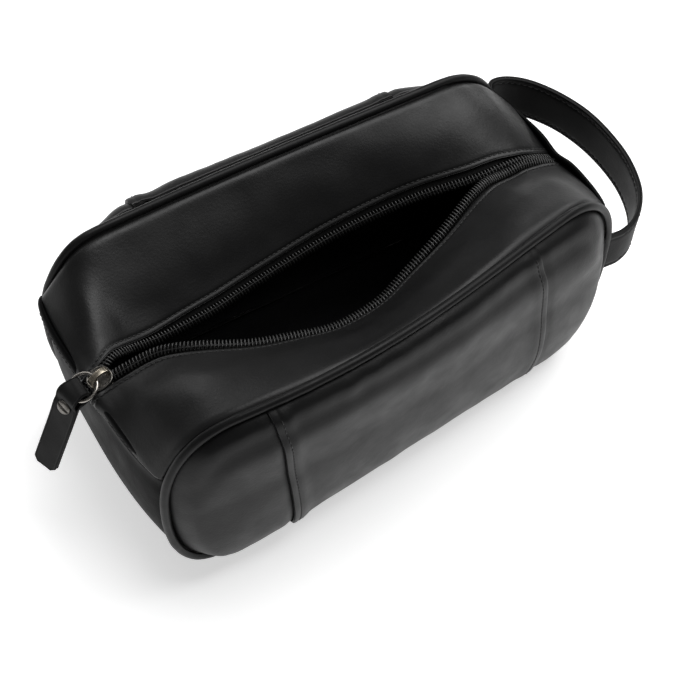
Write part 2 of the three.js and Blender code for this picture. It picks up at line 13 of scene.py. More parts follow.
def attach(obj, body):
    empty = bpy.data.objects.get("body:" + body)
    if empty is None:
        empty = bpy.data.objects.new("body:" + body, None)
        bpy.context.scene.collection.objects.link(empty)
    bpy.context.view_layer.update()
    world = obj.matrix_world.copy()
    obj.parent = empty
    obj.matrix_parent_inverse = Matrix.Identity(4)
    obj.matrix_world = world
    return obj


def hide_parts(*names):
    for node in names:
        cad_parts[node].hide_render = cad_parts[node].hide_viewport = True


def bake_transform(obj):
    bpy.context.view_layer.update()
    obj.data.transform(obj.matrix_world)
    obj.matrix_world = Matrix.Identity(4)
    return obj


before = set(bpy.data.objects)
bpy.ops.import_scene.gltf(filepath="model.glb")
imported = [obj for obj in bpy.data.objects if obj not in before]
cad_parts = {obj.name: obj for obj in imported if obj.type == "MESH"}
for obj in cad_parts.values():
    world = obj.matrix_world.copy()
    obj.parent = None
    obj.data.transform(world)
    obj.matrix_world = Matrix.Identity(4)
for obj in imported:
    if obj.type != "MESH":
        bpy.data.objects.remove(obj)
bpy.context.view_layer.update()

SCENE = bpy.context.scene
MM = 0.001
QUARTER = math.pi / 2
FRONT, BACK = -1, 1
FACES = (("front", FRONT), ("back", BACK))
Y_AXIS = np.array([0.0, 1.0, 0.0])
Z_AXIS = np.array([0.0, 0.0, 1.0])


# ---------- driving dimensions ----------

HALF_LENGTH = 140.0
HEIGHT = 125.0  # piping centre at the top corners
WIDEST = 72.0  # height at which the ends stand furthest out
FLOOR_GAP = 3.0  # lowest piping centre above the floor
TOP_RUN = 42.0
BOTTOM_RUN = 35.0
SHARPNESS = 2.3
SEAM_HEIGHT = 96.0
LEFT_DEPTH = 130.0
RIGHT_DEPTH = 103.0
FRONT_BOW = 17.0
FRONT_RISE = 11.0
FRONT_LEAN = 0.6
BACK_RISE = 2.5
BACK_TUCK = 5.5  # the back corner at the slider end is drawn in
END_BULGE = 6.0
BASE_BULGE = 3.4

PIPING_RADIUS = 2.3
PIPING_WALL = 0.7
GROOVE = 2.1  # how far in from the piping's centre the leather starts to rise
GROOVE_DEPTH = 2.3
LEATHER = 1.3
FOLDED = 2.0  # thickness of a folded leather edge
LINING = 0.6

TAPE_SHOWN = {-1: 4.8, 1: 5.6}  # from the middle of the coil to the folded leather edge
SLIDER_PINCH = {-1: 0.2, 1: 0.6}  # share of that hidden beside the slider
LOOP_PINCH = {-1: 0.25, 1: 0.6}  # and at the other end of the zip
FLAP_TOP = 1.9  # outer face of the flaps above the line from coil to piping
FLAP_PUFF = 2.0
LIP_CURL = {-1: 2.7, 1: 0.3}  # how far the coil stands up above the flap's edge
COIL_PITCH = 1.85
COIL_HALF_WIDTH = 2.4
COIL_HALF_HEIGHT = 0.95
COIL_WIRE = 0.48


# ---------- small geometry tools ----------

def unit(vectors):
    """Vectors scaled to length one."""
    length = np.linalg.norm(vectors, axis=-1, keepdims=True)
    return vectors / np.maximum(length, 1e-9)


def xyz(x, y, z):
    """Points from their coordinates; a coordinate may be one number for all of them."""
    return np.stack(np.broadcast_arrays(x, y, z), -1)


def mix(first, second, share):
    return first + (second - first) * share


def smooth(value):
    """0 below 0, 1 above 1, and an even curve between."""
    value = np.clip(value, 0.0, 1.0)
    return value * value * (3 - 2 * value)


def roll(distance, radius):
    """Rise of a round edge, from 0 at the edge to 1 at one radius inside it."""
    inside = 1 - np.clip(distance / radius, 0.0, 1.0)
    return np.sqrt(np.maximum(0.0, 1 - inside * inside))


def bell(value, width):
    """A bump of height 1 at 0."""
    return np.exp(-(value / width) ** 2)


def powered(value, power):
    """value raised to a power, keeping its sign."""
    return np.sign(value) * np.abs(value) ** power


def round_angles(count):
    return np.arange(count) * 2 * math.pi / count


def sewn_edge(distance, seam, width, dent, radius, drop):
    """Height of a leather edge: dented along its seam and rounded at its fold."""
    return -dent * bell(distance - seam, width) - drop * (1 - roll(distance, radius))


def turned(points, angle, axis):
    """Points turned from the x axis towards another axis."""
    turn = np.eye(3)
    turn[[0, axis], [0, axis]] = math.cos(angle)
    turn[axis, 0] = math.sin(angle)
    turn[0, axis] = -math.sin(angle)
    return points @ turn.T


def lengths_along(points):
    """Distance of each point from the first, along the row."""
    steps = np.linalg.norm(np.diff(points, axis=0), axis=1)
    return np.concatenate([[0.0], np.cumsum(steps)])


def spread(rows, run, distances):
    """Rows of numbers that lie at the distances in run, read at other distances."""
    return np.stack([np.interp(distances, run, column) for column in rows.T], -1)


def along(points, distances):
    """Points at these distances along a row of points, which ends at its end points."""
    return spread(points, lengths_along(points), distances)


def at_fraction(points, fraction):
    return along(points, fraction * lengths_along(points)[-1])


def curve_through(knots, steps=24):
    """A smooth curve through knots, as a fine row of points."""
    knots = np.array(knots, float)
    ends = [2 * knots[0] - knots[1]], [2 * knots[-1] - knots[-2]]
    rows = np.concatenate([ends[0], knots, ends[1]])
    parts = []
    for k in range(len(rows) - 3):
        level = rows[k:k + 4]
        gaps = np.sqrt(np.linalg.norm(np.diff(level, axis=0), axis=1))
        when = np.concatenate([[0.0], np.cumsum(gaps)])
        t = np.linspace(when[1], when[2], steps, endpoint=False)[:, None]
        for reach in (1, 2):
            shares = [(t - when[i]) / (when[i + reach] - when[i]) for i in range(4 - reach)]
            level = [mix(a, b, share) for a, b, share in zip(level, level[1:], shares)]
        parts.append(mix(*level, (t - when[1]) / gaps[1]))
    return np.concatenate([*parts, knots[-1:]])


def tangents(path, closed=False):
    if closed:
        return unit(np.roll(path, -1, 0) - np.roll(path, 1, 0))
    return unit(np.gradient(path, axis=0))


def grid_normals(grid, towards):
    """Unit normals of a grid of points, on the side that mostly faces towards."""
    normals = unit(np.cross(np.gradient(grid, axis=0), np.gradient(grid, axis=1)))
    return normals if np.sum(normals * towards) > 0 else -normals


def waves(points, size, seed):
    """Soft noise from about -1 to 1 at points, with features of about this size."""
    flat = points.reshape(-1, 3) / size + seed * 7.31
    values = [noise.noise(Vector(p)) for p in flat]
    return np.array(values).reshape(points.shape[:-1]) * 1.6


def spaced(total, start_marks, middle, end_marks):
    """Distances from 0 to total: marks near each end and an even middle. total may be an array."""
    total = np.asarray(total, float)[..., None]
    first = np.array(start_marks) * np.ones_like(total)
    last = total - np.array(end_marks)[::-1]
    even = mix(first[..., -1:], last[..., :1], np.linspace(0, 1, middle + 2)[1:-1])
    return np.concatenate([first, even, last], -1)


# ---------- meshes ----------

def make_object(name, points, faces, material):
    """A smooth-shaded mesh object from points in millimetres."""
    mesh = bpy.data.meshes.new(name)
    mesh.from_pydata((np.asarray(points) * MM).tolist(), [], faces)
    mesh.polygons.foreach_set("use_smooth", [True] * len(mesh.polygons))
    mesh.materials.append(material)
    mesh.update()
    made = bpy.data.objects.new(name, mesh)
    SCENE.collection.objects.link(made)
    return made


def bridge(first, second, closed):
    """Quads between two equal rows of vertex numbers."""
    quads = np.stack([first, np.roll(first, -1), np.roll(second, -1), second], 1)
    return (quads if closed else quads[:-1]).tolist()


def closed_object(name, points, faces, material):
    """The object of a closed mesh, with its faces turned outwards."""
    fans = [(face[0], b, c) for face in faces for b, c in zip(face[1:], face[2:])]
    a, b, c = points[np.array(fans).T]
    if np.sum(a * np.cross(b, c)) < 0:
        faces = [face[::-1] for face in faces]
    return make_object(name, points, faces, material)


def sheet(name, top, normals, thickness, material, rim_steps=3):
    """A closed sheet with rounded edges; top is its outer face and normals point away from it."""
    rows, cols = top.shape[:2]
    bottom = top - normals * thickness
    number = np.arange(rows * cols).reshape(rows, cols)
    under = number + rows * cols
    faces = []
    for i in range(rows - 1):
        faces += bridge(number[i], number[i + 1], False)
        faces += bridge(under[i + 1], under[i], False)
    sides = number[:-1, 0], number[-1, :-1], number[:0:-1, -1], number[0, :0:-1]
    at = np.unravel_index(np.concatenate(sides), number.shape)
    inner = np.clip(at[0], 1, rows - 2), np.clip(at[1], 1, cols - 2)
    outward = unit(top[at] - top[inner])
    outward = unit(outward - normals[at] * np.sum(outward * normals[at], -1, keepdims=True))
    middle = (top[at] + bottom[at]) / 2
    loops, extra = [number[at]], []
    base = 2 * rows * cols
    for step in range(1, rim_steps + 1):
        angle = math.pi * step / (rim_steps + 1)
        ring = middle + outward * thickness / 2 * math.sin(angle)
        extra.append(ring + normals[at] * thickness / 2 * math.cos(angle))
        loops.append(base + np.arange(len(ring)))
        base += len(ring)
    loops.append(under[at])
    for first, second in zip(loops, loops[1:]):
        faces += bridge(second, first, True)
    points = np.concatenate([top.reshape(-1, 3), bottom.reshape(-1, 3), *extra])
    return closed_object(name, points, faces, material)


def ring_faces(number, closed=False):
    """Faces of a body through rows of vertex numbers; open rows are capped at each end."""
    faces = []
    for first, second in zip(number, number[1:]):
        faces += bridge(first, second, True)
    if closed:
        return faces + bridge(number[-1], number[0], True)
    return faces + [number[0][::-1].tolist(), number[-1].tolist()]


def ring_mesh(name, rings, material, closed=False):
    """A body through rows of equal closed sections."""
    count, size = rings.shape[:2]
    faces = ring_faces(np.arange(count * size).reshape(count, size), closed)
    return closed_object(name, rings.reshape(-1, 3), faces, material)


def side_frames(path, closed=False):
    """Two directions square to a path at each of its points, without sudden twists."""
    tangent = tangents(path, closed)
    side = np.zeros_like(path)
    last = np.cross(tangent[0], [0.31, 0.17, 0.93])
    for i, direction in enumerate(tangent):
        last = last - direction * np.dot(last, direction)
        last = last / np.linalg.norm(last)
        side[i] = last
    if closed:
        turn = np.dot(np.cross(side[-1], side[0]), tangent[0])
        twist = math.atan2(turn, np.dot(side[-1], side[0]))
        angle = (np.arange(len(path)) / len(path) * twist)[:, None]
        side = side * np.cos(angle) + np.cross(tangent, side) * np.sin(angle)
    return side, np.cross(tangent, side)


def swept(path, across, up, section):
    """One flat section, or one for each point, of (across, up) pairs set along a path."""
    return path[:, None] + across[:, None] * section[..., :1] + up[:, None] * section[..., 1:]


def arc_section(angles, radii):
    return np.stack([np.cos(angles), np.sin(angles)], -1) * np.asarray(radii)[..., None]


def rounded_section(half_width, half_height, radius, steps=4):
    """A closed rectangle with round corners, as (across, up) pairs."""
    angles = (np.arange(4)[:, None] + np.arange(steps + 1) / steps) * QUARTER
    corners = np.array([(1, 1), (-1, 1), (-1, -1), (1, -1)])[:, None]
    centres = corners * (half_width - radius, half_height - radius)
    return (centres + arc_section(angles, radius)).reshape(-1, 2)


def tube_rings(path, radius, sides, closed=False):
    """Round sections along a path; radius is one number or one for each point."""
    radii = np.broadcast_to(radius, (len(path),))[:, None]
    return swept(path, *side_frames(path, closed), arc_section(round_angles(sides), radii))


def tube(name, path, radius, sides, material, closed=False):
    return ring_mesh(name, tube_rings(path, radius, sides, closed), material, closed)


STITCH = 3.3  # from one stitch to the next
THREAD_RADIUS = 0.3
THREAD_SHARES = np.array([0.5, 0.85, 1, 1, 1, 0.85, 0.5])  # thinner where it sinks in


def stitch_row(name, path, normals, pitch=STITCH):
    """Sewn stitches along a path that lies on a surface, each sinking in at its two ends."""
    run = lengths_along(path)
    count = max(1, int(run[-1] / pitch))
    step = run[-1] / count
    t = np.linspace(-0.5, 0.5, len(THREAD_SHARES))
    arch = THREAD_RADIUS * (1.25 * np.cos(t * math.pi) ** 0.7 - 0.55)
    points, faces = [], []
    for k in range(count):
        places = (k + 0.5) * step + t * step * 0.82
        up = unit(spread(normals, run, places))
        middle = along(path, places) + up * arch[:, None]
        rings = tube_rings(middle, THREAD_RADIUS * THREAD_SHARES, 6)
        size = rings.size // 3
        faces += ring_faces(np.arange(size).reshape(rings.shape[:2]) + k * size)
        points.append(rings.reshape(-1, 3))
    return closed_object(name, np.concatenate(points), faces, THREAD)


# ---------- materials ----------

def grey(value, blue=0.0):
    return value, value, value + blue


class Finish:
    """A material in the making; its patterns follow the position on the object."""

    def __init__(self, name, colour, roughness):
        self.material = bpy.data.materials.new(name)
        self.material.use_nodes = True
        self.tree = self.material.node_tree
        self.shader = self.tree.nodes["Principled BSDF"]
        self.place = self.tree.nodes.new("ShaderNodeTexCoord").outputs["Object"]
        self.fill(self.shader, {"Base Color": (*colour, 1), "Roughness": roughness})

    def fill(self, node, values):
        """Set each named input of a node, or link it where the value is a node's output."""
        for name, value in values.items():
            if isinstance(value, bpy.types.NodeSocket):
                self.tree.links.new(value, node.inputs[name])
            else:
                node.inputs[name].default_value = value

    def add(self, kind, output, values, **settings):
        """The output of a new node."""
        node = self.tree.nodes.new(kind)
        for name, value in settings.items():
            setattr(node, name, value)
        self.fill(node, values)
        return node.outputs[output]

    def noise(self, scale, detail=3.0, roughness=0.55):
        values = {"Scale": scale, "Detail": detail, "Roughness": roughness}
        return self.add("ShaderNodeTexNoise", "Fac", {**values, "Vector": self.place})

    def bands(self, direction, values):
        values = {**values, "Vector": self.place}
        return self.add("ShaderNodeTexWave", "Fac", values, bands_direction=direction)

    def ramp(self, source, low=0.0, high=1.0, start=0.3, stop=0.7):
        """source between start and stop, spread from low to high."""
        reach = {"From Min": start, "From Max": stop, "To Min": low, "To Max": high}
        return self.add("ShaderNodeMapRange", "Result", {**reach, "Value": source})

    def colours(self, source, first, second):
        values = {"Factor": source, "A": (*first, 1), "B": (*second, 1)}
        return self.add("ShaderNodeMix", "Result", values, data_type="RGBA")

    def bump(self, height, strength, distance, below=None):
        values = {"Height": height, "Strength": strength, "Distance": distance}
        if below is not None:
            values["Normal"] = below
        return self.add("ShaderNodeBump", "Normal", values)

    def done(self, values):
        """The material, once these are set on its shader."""
        self.fill(self.shader, values)
        return self.material


def leather(name, dark, light, roughness, shine, grain=1.0):
    """Smooth full-grain leather: fine pebble, pores, faint creases and a patchy polish."""
    dark, light = grey(dark, 0.0002), grey(light)
    made = Finish(name, dark, roughness)
    tone = made.ramp(made.noise(22, 4), start=0.35, stop=0.68)
    polish = made.noise(60, 5, 0.6)
    cells = {"Scale": 850, "Randomness": 1.0, "Vector": made.place}
    cells = made.add("ShaderNodeTexVoronoi", "Distance", cells, feature="SMOOTH_F1")
    pebble = made.bump(cells, 0.35 * grain, 0.00012)
    pores = made.bump(made.noise(2600, 2), 0.22 * grain, 0.00008, pebble)
    creases = made.bump(made.noise(140, 6, 0.7), 0.16 * grain, 0.0007, pores)
    return made.done({
        "Base Color": made.colours(tone, dark, light),
        "Roughness": made.ramp(polish, roughness - 0.05, roughness + 0.08),
        "Specular IOR Level": shine,
        "Normal": creases,
    })


def woven(name, dark, light, threads):
    """Cloth with crossing threads; threads is how many lie in a metre."""
    made = Finish(name, dark, 0.85)
    fibres = made.noise(900, 3)
    normal = None
    for direction in "XYZ":
        crossing = {"Scale": threads / 3.2, "Distortion": 0.6, "Detail": 1.0}
        normal = made.bump(made.bands(direction, crossing), 0.35, 0.00018, normal)
    return made.done({
        "Base Color": made.colours(made.ramp(fibres), dark, light),
        "Sheen Weight": 0.03,
        "Sheen Roughness": 0.6,
        "Specular IOR Level": 0.12,
        "Normal": normal,
    })


def metal(name, dark, light, roughness):
    """Plated metal with tarnish in patches and fine rubbed marks."""
    made = Finish(name, dark, roughness)
    tarnish = made.ramp(made.noise(420, 5, 0.65))
    rubbed = made.noise(1500, 4, 0.7)
    return made.done({
        "Base Color": made.colours(tarnish, dark, light),
        "Metallic": 1.0,
        "Roughness": made.ramp(rubbed, roughness - 0.07, roughness + 0.12),
        "Normal": made.bump(rubbed, 0.12, 0.0001),
    })


def plastic_coil(name):
    """Nylon wire of the zip: dark and slightly shiny, with patches of dust at random."""
    made = Finish(name, grey(0.01), 0.3)
    dust = made.noise(700, 4)
    tone = made.ramp(dust, start=0.4, stop=0.75)
    return made.done({
        "Base Color": made.colours(tone, grey(0.004), grey(0.018, -0.001)),
        "Roughness": made.ramp(dust, 0.22, 0.42),
        "Normal": made.bump(dust, 0.1, 0.0001),
    })


def sewing_thread(name):
    made = Finish(name, grey(0.006), 0.6)
    twist = made.bands("DIAGONAL", {"Scale": 600, "Distortion": 1.0})
    return made.done({
        "Base Color": made.colours(twist, grey(0.006), grey(0.022)),
        "Normal": made.bump(twist, 0.5, 0.0001),
    })


def cotton_cord(name):
    made = Finish(name, (0.45, 0.42, 0.36), 0.9)
    fibres = made.noise(800, 4)
    return made.done({
        "Base Color": made.colours(fibres, (0.36, 0.33, 0.28), (0.55, 0.52, 0.46)),
        "Normal": made.bump(fibres, 0.5, 0.0003),
    })


def matt_floor(name):
    made = Finish(name, grey(0.86), 0.9)
    return made.done({
        "Base Color": made.colours(made.noise(3, 2), grey(0.86), grey(0.88)),
        "Specular IOR Level": 0.05,
        "Emission Color": (1, 1, 1, 1),
        "Emission Strength": 0.56,
    })


PANEL_LEATHER = leather("panel_leather", 0.006, 0.009, 0.4, 0.17)
FLAP_LEATHER = leather("flap_leather", 0.0055, 0.0085, 0.4, 0.32)
# Painted shade: the strip is the same leather as the panels, given a darker colour and less shine
# to stand in for the shade it lies in.
SHADED_STRIP_LEATHER = leather("strip_leather", 0.0023, 0.0039, 0.5, 0.04)
PIPING_LEATHER = leather("piping_leather", 0.0055, 0.0085, 0.4, 0.17, 0.7)
STRAP_LEATHER = leather("strap_leather", 0.0055, 0.0085, 0.5, 0.14)
LINING_CLOTH = woven("lining_cloth", grey(0.004, 0.0005), grey(0.009, 0.001), 2600)
ZIP_CLOTH = woven("zip_tape", grey(0.004), grey(0.01), 2200)
COIL_PLASTIC = plastic_coil("zip_coil")
DARK_METAL = metal("dark_metal", (0.1, 0.095, 0.088), (0.2, 0.19, 0.175), 0.3)
RING_METAL = metal("ring_metal", (0.3, 0.28, 0.26), (0.5, 0.47, 0.43), 0.24)
BRONZE_METAL = metal("bronze_metal", (0.22, 0.19, 0.15), (0.42, 0.38, 0.31), 0.27)
THREAD = sewing_thread("black_thread")
CORD = cotton_cord("piping_cord")


# ---------- putting a piece on the frame ----------

def place(piece, body, slot, *nodes):
    """The piece rides on a body and stands for some CAD nodes; slot is not used."""
    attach(piece, body)
    if nodes:
        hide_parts(*nodes)


def sew(name, path, normals, slot, pitch=STITCH):
    """A row of stitches on one of the bag's leather pieces."""
    place(stitch_row(name, path, normals, pitch), "bag", slot)


def line(name, top, normals, node):
    """A piece of the bag's lining."""
    place(sheet(name, top, normals, LINING, LINING_CLOTH, 2), "bag", "lining_cloth", node)


# ---------- the bag's outline ----------

def corner_runs(upper, inset):
    run_x = (TOP_RUN if upper else BOTTOM_RUN) - inset
    run_z = HEIGHT - inset - WIDEST if upper else FLOOR_GAP + inset - WIDEST
    return run_x, run_z


def outline_height(x, upper, inset=0.0):
    """Height of the outline above or below its widest place at one x."""
    run_x, run_z = corner_runs(upper, inset)
    past = np.clip((np.abs(x) - (HALF_LENGTH - inset - run_x)) / run_x, 0, 1)
    return WIDEST + run_z * (1 - past ** SHARPNESS) ** (1 / SHARPNESS)


def corner(end, upper, start, stop, inset=0.0, count=120):
    """Part of a corner; the angle runs from 0 at the end to a quarter turn at top or base."""
    run_x, run_z = corner_runs(upper, inset)
    angle = np.linspace(start, stop, count)
    power = 2 / SHARPNESS
    across = np.clip(np.cos(angle), 0, 1) ** power
    x = end * (HALF_LENGTH - inset - run_x + run_x * across)
    return np.stack([x, WIDEST + run_z * np.sin(angle) ** power], 1)


SEAM_ANGLE = math.asin(((SEAM_HEIGHT - WIDEST) / (HEIGHT - WIDEST)) ** (SHARPNESS / 2))
TOP_OUTLINE = np.concatenate([
    corner(-1, True, SEAM_ANGLE, QUARTER),
    corner(1, True, QUARTER, SEAM_ANGLE),
])
BASE_OUTLINE = np.concatenate([
    corner(-1, True, SEAM_ANGLE, 0),
    corner(-1, False, 0, QUARTER),
    corner(1, False, QUARTER, 0),
    corner(1, True, 0, SEAM_ANGLE),
])
BASE_LENGTH = lengths_along(BASE_OUTLINE)[-1]
WHOLE_OUTLINE = np.concatenate([TOP_OUTLINE, BASE_OUTLINE[::-1]])


def half_depth(x):
    return mix(LEFT_DEPTH, RIGHT_DEPTH, (x + HALF_LENGTH) / (2 * HALF_LENGTH)) / 2


def face_point(side, x, z):
    """A point of the front or back face of the outline."""
    reach = np.clip(x / HALF_LENGTH, -1, 1)
    swell = (1 - reach ** 2) ** 1.5 * (1 - FRONT_LEAN * reach) * np.clip(z / HEIGHT, 0, 1)
    if side == FRONT:
        return xyz(x, -half_depth(x) - FRONT_BOW * swell, z + FRONT_RISE * swell)
    tuck = BACK_TUCK * smooth((-x - 105) / 30)
    return xyz(x + tuck, half_depth(x), z + BACK_RISE * swell)


def edge_distance(x, z):
    """Distance of flat points from the outline."""
    rim = along(WHOLE_OUTLINE, np.arange(0, lengths_along(WHOLE_OUTLINE)[-1], 0.8))
    nearest = [np.min(np.sum((rim - p) ** 2, 1)) for p in zip(x.ravel(), z.ravel())]
    return np.sqrt(nearest).reshape(x.shape)


# ---------- front and back panels ----------

SEAM_FOOT = {-1: -73.5, 1: 86.0}  # x of each panel seam at the base
SEAM_HEAD = {-1: -88.0, 1: 76.0}  # and at the top
BACK_SEAM_HEAD = -77.0  # the back panel's slider-end seam is more upright
SEAM_BOW = 3.5  # the loop-end seams bow outwards at mid height
PANEL_INSET = {FRONT: 2.1, BACK: 3.2}  # from the piping's centre to the edge of each panel
EDGE_INSET = 2.1  # and to the edges of the flaps and the strip
EDGE_MARKS = (0, 0.35, 0.7, 1.1, 1.6, 2.2, 3.0, 4.0, 5.4, 7.2, 9.4, 12)
LAP_MARKS = (0, 0.3, 0.7, 1.2, 1.9, 2.7, 3.2, 3.7, 4.2, 4.8, 6, 8, 10.5)
LAP_STITCH = LAP_MARKS.index(3.7)
LAP_HEIGHT = 1.5
LAP_UNDER = 6.0
BULGE = {FRONT: 13.5, BACK: 4.0}
TOP_SHOULDER = {FRONT: 5.0, BACK: 12.0}  # extra roundness under the upper piping
TOP_SHOULDER_REACH = {FRONT: 4.5, BACK: 7}  # how far in from the groove it is full
TOP_SHOULDER_FADE = {FRONT: (118, 20), BACK: (76, 42)}  # where it starts to fade, over how far
SHOULDER = 5.2  # the round edge beside the piping, from the groove's bottom
SHOULDER_REACH = 10
SAG_PEAK = 0.365  # highest value of the sag's curve before it is scaled to 1


def seam_x(side, end, z):
    share = (z - FLOOR_GAP) / (HEIGHT - FLOOR_GAP)
    head = BACK_SEAM_HEAD if (side, end) == (BACK, -1) else SEAM_HEAD[end]
    bow = SEAM_BOW * np.sin(math.pi * np.clip(share, 0, 1)) if end > 0 else 0.0
    return mix(SEAM_FOOT[end], head, share) + bow


def panel_rise(side, x, z):
    """How far the stuffed panel stands out from its piping's plane."""
    distance = edge_distance(x, z)
    low = outline_height(x, False)
    high = outline_height(x, True)
    height = np.clip((z - low) / np.maximum(high - low, 1), 0, 1)
    shoulder = SHOULDER * roll(distance - GROOVE, SHOULDER_REACH) - GROOVE_DEPTH
    sag = height ** 0.55 * (1 - height) / SAG_PEAK
    sag = sag * (1 - np.abs(x / HALF_LENGTH) ** 10) * smooth(distance / 12)
    filled = roll(distance - GROOVE, TOP_SHOULDER_REACH[side]) * smooth((height - 0.55) / 0.3)
    fade_start, fade_length = TOP_SHOULDER_FADE[side]
    fade = smooth((np.abs(x) - fade_start) / fade_length)
    shoulder = shoulder + TOP_SHOULDER[side] * filled * (1 - fade)
    if side == FRONT:
        shoulder = shoulder - 1.9 * bell(distance - 12.5, 5) * smooth((height - 0.6) / 0.2)
    places = xyz(x, side * 40.0, z)
    soft = 1.0 * waves(places, 70, 1) + 0.32 * waves(places, 24, 2)
    stretched = places * np.array([1.0, 1.0, 0.45])
    ripple_zone = smooth((distance - 2) / 4) * (1 - smooth((distance - 9) / 12))
    ripples = 0.42 * waves(stretched, 8.5, 3) * ripple_zone
    near_left = bell(x + 52, 34) * smooth((height - 0.6) / 0.3)
    ripples = ripples * (0.35 + 1.1 * near_left)
    return shoulder + BULGE[side] * sag + soft * smooth(distance / 14) + ripples


def panel_surface(side, x, z, extra):
    points = face_point(side, x, z)
    points[..., 1] += side * (panel_rise(side, x, z) + extra)
    return points


def panel_rows(side, x):
    """Heights from the lower to the upper edge of the panel at each x."""
    low = outline_height(x, False, PANEL_INSET[side])
    high = outline_height(x, True, PANEL_INSET[side])
    return low[..., None] + spaced(high - low, EDGE_MARKS, 44, EDGE_MARKS)


def centre_panel(face, side):
    left = seam_x(side, -1, HEIGHT / 2)
    right = seam_x(side, 1, HEIGHT / 2)
    base_x = left + spaced(right - left, LAP_MARKS, 60, LAP_MARKS)
    z = panel_rows(side, base_x).T
    left_x, right_x = seam_x(side, -1, z), seam_x(side, 1, z)
    share = (base_x - left) / (right - left)
    x = mix(left_x, right_x, share)
    edge = np.minimum(x - left_x, right_x - x)
    strength = mix(1.0, 0.35, share)
    lap = LAP_HEIGHT * (1 - smooth((edge - 5) / 7)) * mix(1.0, 0.5, share)
    lap = lap + sewn_edge(edge, 3.7, 0.9, 0.45 * strength, 1.4, 0.4)
    top = panel_surface(side, x, z, lap)
    normals = grid_normals(top, Y_AXIS * side)
    place(sheet(f"{face}_centre_cover", top, normals, FOLDED - 0.2, PANEL_LEATHER),
          "bag", "panel_leather", f"{face}_centre_panel")
    for end, column in (("left", LAP_STITCH), ("right", -1 - LAP_STITCH)):
        name = f"{face}_{end}_panel_stitches"
        sew(name, top[6:-6, column], normals[6:-6, column], "panel_leather")


def end_patch(side, end):
    """Flat (x, z) places that fill the D shape beyond one panel seam."""
    inset = PANEL_INSET[side]
    lower = corner(end, False, QUARTER, 0, inset)
    upper = corner(end, True, 0, QUARTER, inset)
    low_z, high_z = FLOOR_GAP + inset, HEIGHT - inset
    start = np.array([[seam_x(side, end, low_z) - end * LAP_UNDER, low_z]])
    stop = np.array([[seam_x(side, end, high_z) - end * LAP_UNDER, high_z]])
    rim = np.concatenate([start, lower, upper, stop])
    run = lengths_along(rim)
    turn_low = run[1 + len(lower) // 2]
    turn_high = run[1 + len(lower) + len(upper) // 2]
    u = spaced(turn_low, LAP_MARKS, 20, EDGE_MARKS) / turn_low
    tall = turn_high - turn_low
    v = spaced(tall, EDGE_MARKS, 34, EDGE_MARKS) / tall
    bottom = along(rim, u * turn_low)
    top = along(rim, run[-1] - u * (run[-1] - turn_high))
    seam_side = mix(start, stop, v[:, None])
    end_side = along(rim, turn_low + v * tall)
    uu, vv = u[None, :, None], v[:, None, None]
    ruled = mix(bottom[None], top[None], vv) + mix(seam_side[:, None], end_side[:, None], uu)
    corners = mix(mix(start, end_side[:1], uu), mix(stop, end_side[-1:], uu), vv)
    return ruled - corners


def end_panel(face, side, end):
    flat = end_patch(side, end)
    x, z = flat[..., 0], flat[..., 1]
    past = (x - seam_x(side, end, z)) * end
    top = panel_surface(side, x, z, -0.9 * (1 - smooth(past / 5)))
    normals = grid_normals(top, Y_AXIS * side)
    name = "left" if end < 0 else "right"
    place(sheet(f"{face}_{name}_cover", top, normals, LEATHER, PANEL_LEATHER),
          "bag", "panel_leather", f"{face}_{name}_panel")


def panel_lining(face, side):
    x = np.linspace(-131, 131, 70)
    low = outline_height(x, False, 3.4)
    high = outline_height(x, True, 7)
    z = low + np.linspace(0, 1, 34)[:, None] * (high - low)
    x = np.broadcast_to(x, z.shape)
    top = panel_surface(side, x, z, -LEATHER - 1.4)
    slack = 1.5 * waves(top * np.array([1.0, 1.0, 0.5]), 26, 5) - 1.2
    top[..., 1] += side * slack
    normals = grid_normals(top, -Y_AXIS * side)
    line(f"{face}_lining_cloth", top, normals, f"{face}_lining")


# ---------- piping ----------

FLANGE_START = 1.8  # from the cord's centre
FLANGE_WIDTH = 5.0
FLANGE_THICK = 0.8


def piping(face, side):
    """Leather wrapped round a cord, slit where its two edges run into the seam."""
    flat = at_fraction(WHOLE_OUTLINE, np.arange(420) / 420)
    path = face_point(side, flat[:, 0], flat[:, 1])
    tangent = tangents(path, True)
    outward = unit(np.cross(tangent, Y_AXIS))
    across = unit(np.cross(tangent, outward))
    slit = 0.3
    outer = np.linspace(-math.pi + slit, math.pi - slit, 19)
    angles = np.concatenate([outer, outer[::-2]])
    radii = np.repeat([PIPING_RADIUS, PIPING_RADIUS - PIPING_WALL], [19, 10])
    uneven = 1 + 0.03 * waves(path, 9, 4) + 0.02 * waves(path, 3, 6)
    rings = swept(path, outward, across, arc_section(angles, radii * uneven[:, None]))
    place(ring_mesh(f"{face}_piping_cover", rings, PIPING_LEATHER, True),
          "bag", "piping_leather", f"{face}_piping")
    core = PIPING_RADIUS - PIPING_WALL - 0.1
    place(tube(f"{face}_piping_core", path, core, 12, CORD, True),
          "bag", "piping_cord", f"{face}_piping_cord")
    piping_flange(face, side, path, tangent, outward)


def piping_flange(face, side, path, tangent, outward):
    """The piping's two raw edges, sewn in between the panel and the flap or strip."""
    inward = unit(-outward - side * Y_AXIS)
    across = np.cross(tangent, inward)
    section = rounded_section(FLANGE_WIDTH / 2, FLANGE_THICK / 2, 0.3, 2)
    middle = path + inward * (FLANGE_START + FLANGE_WIDTH / 2)
    rings = swept(middle, inward, across, section)
    place(ring_mesh(f"{face}_piping_flange", rings, PIPING_LEATHER, True), "bag", "piping_leather")


# ---------- end and base strip ----------

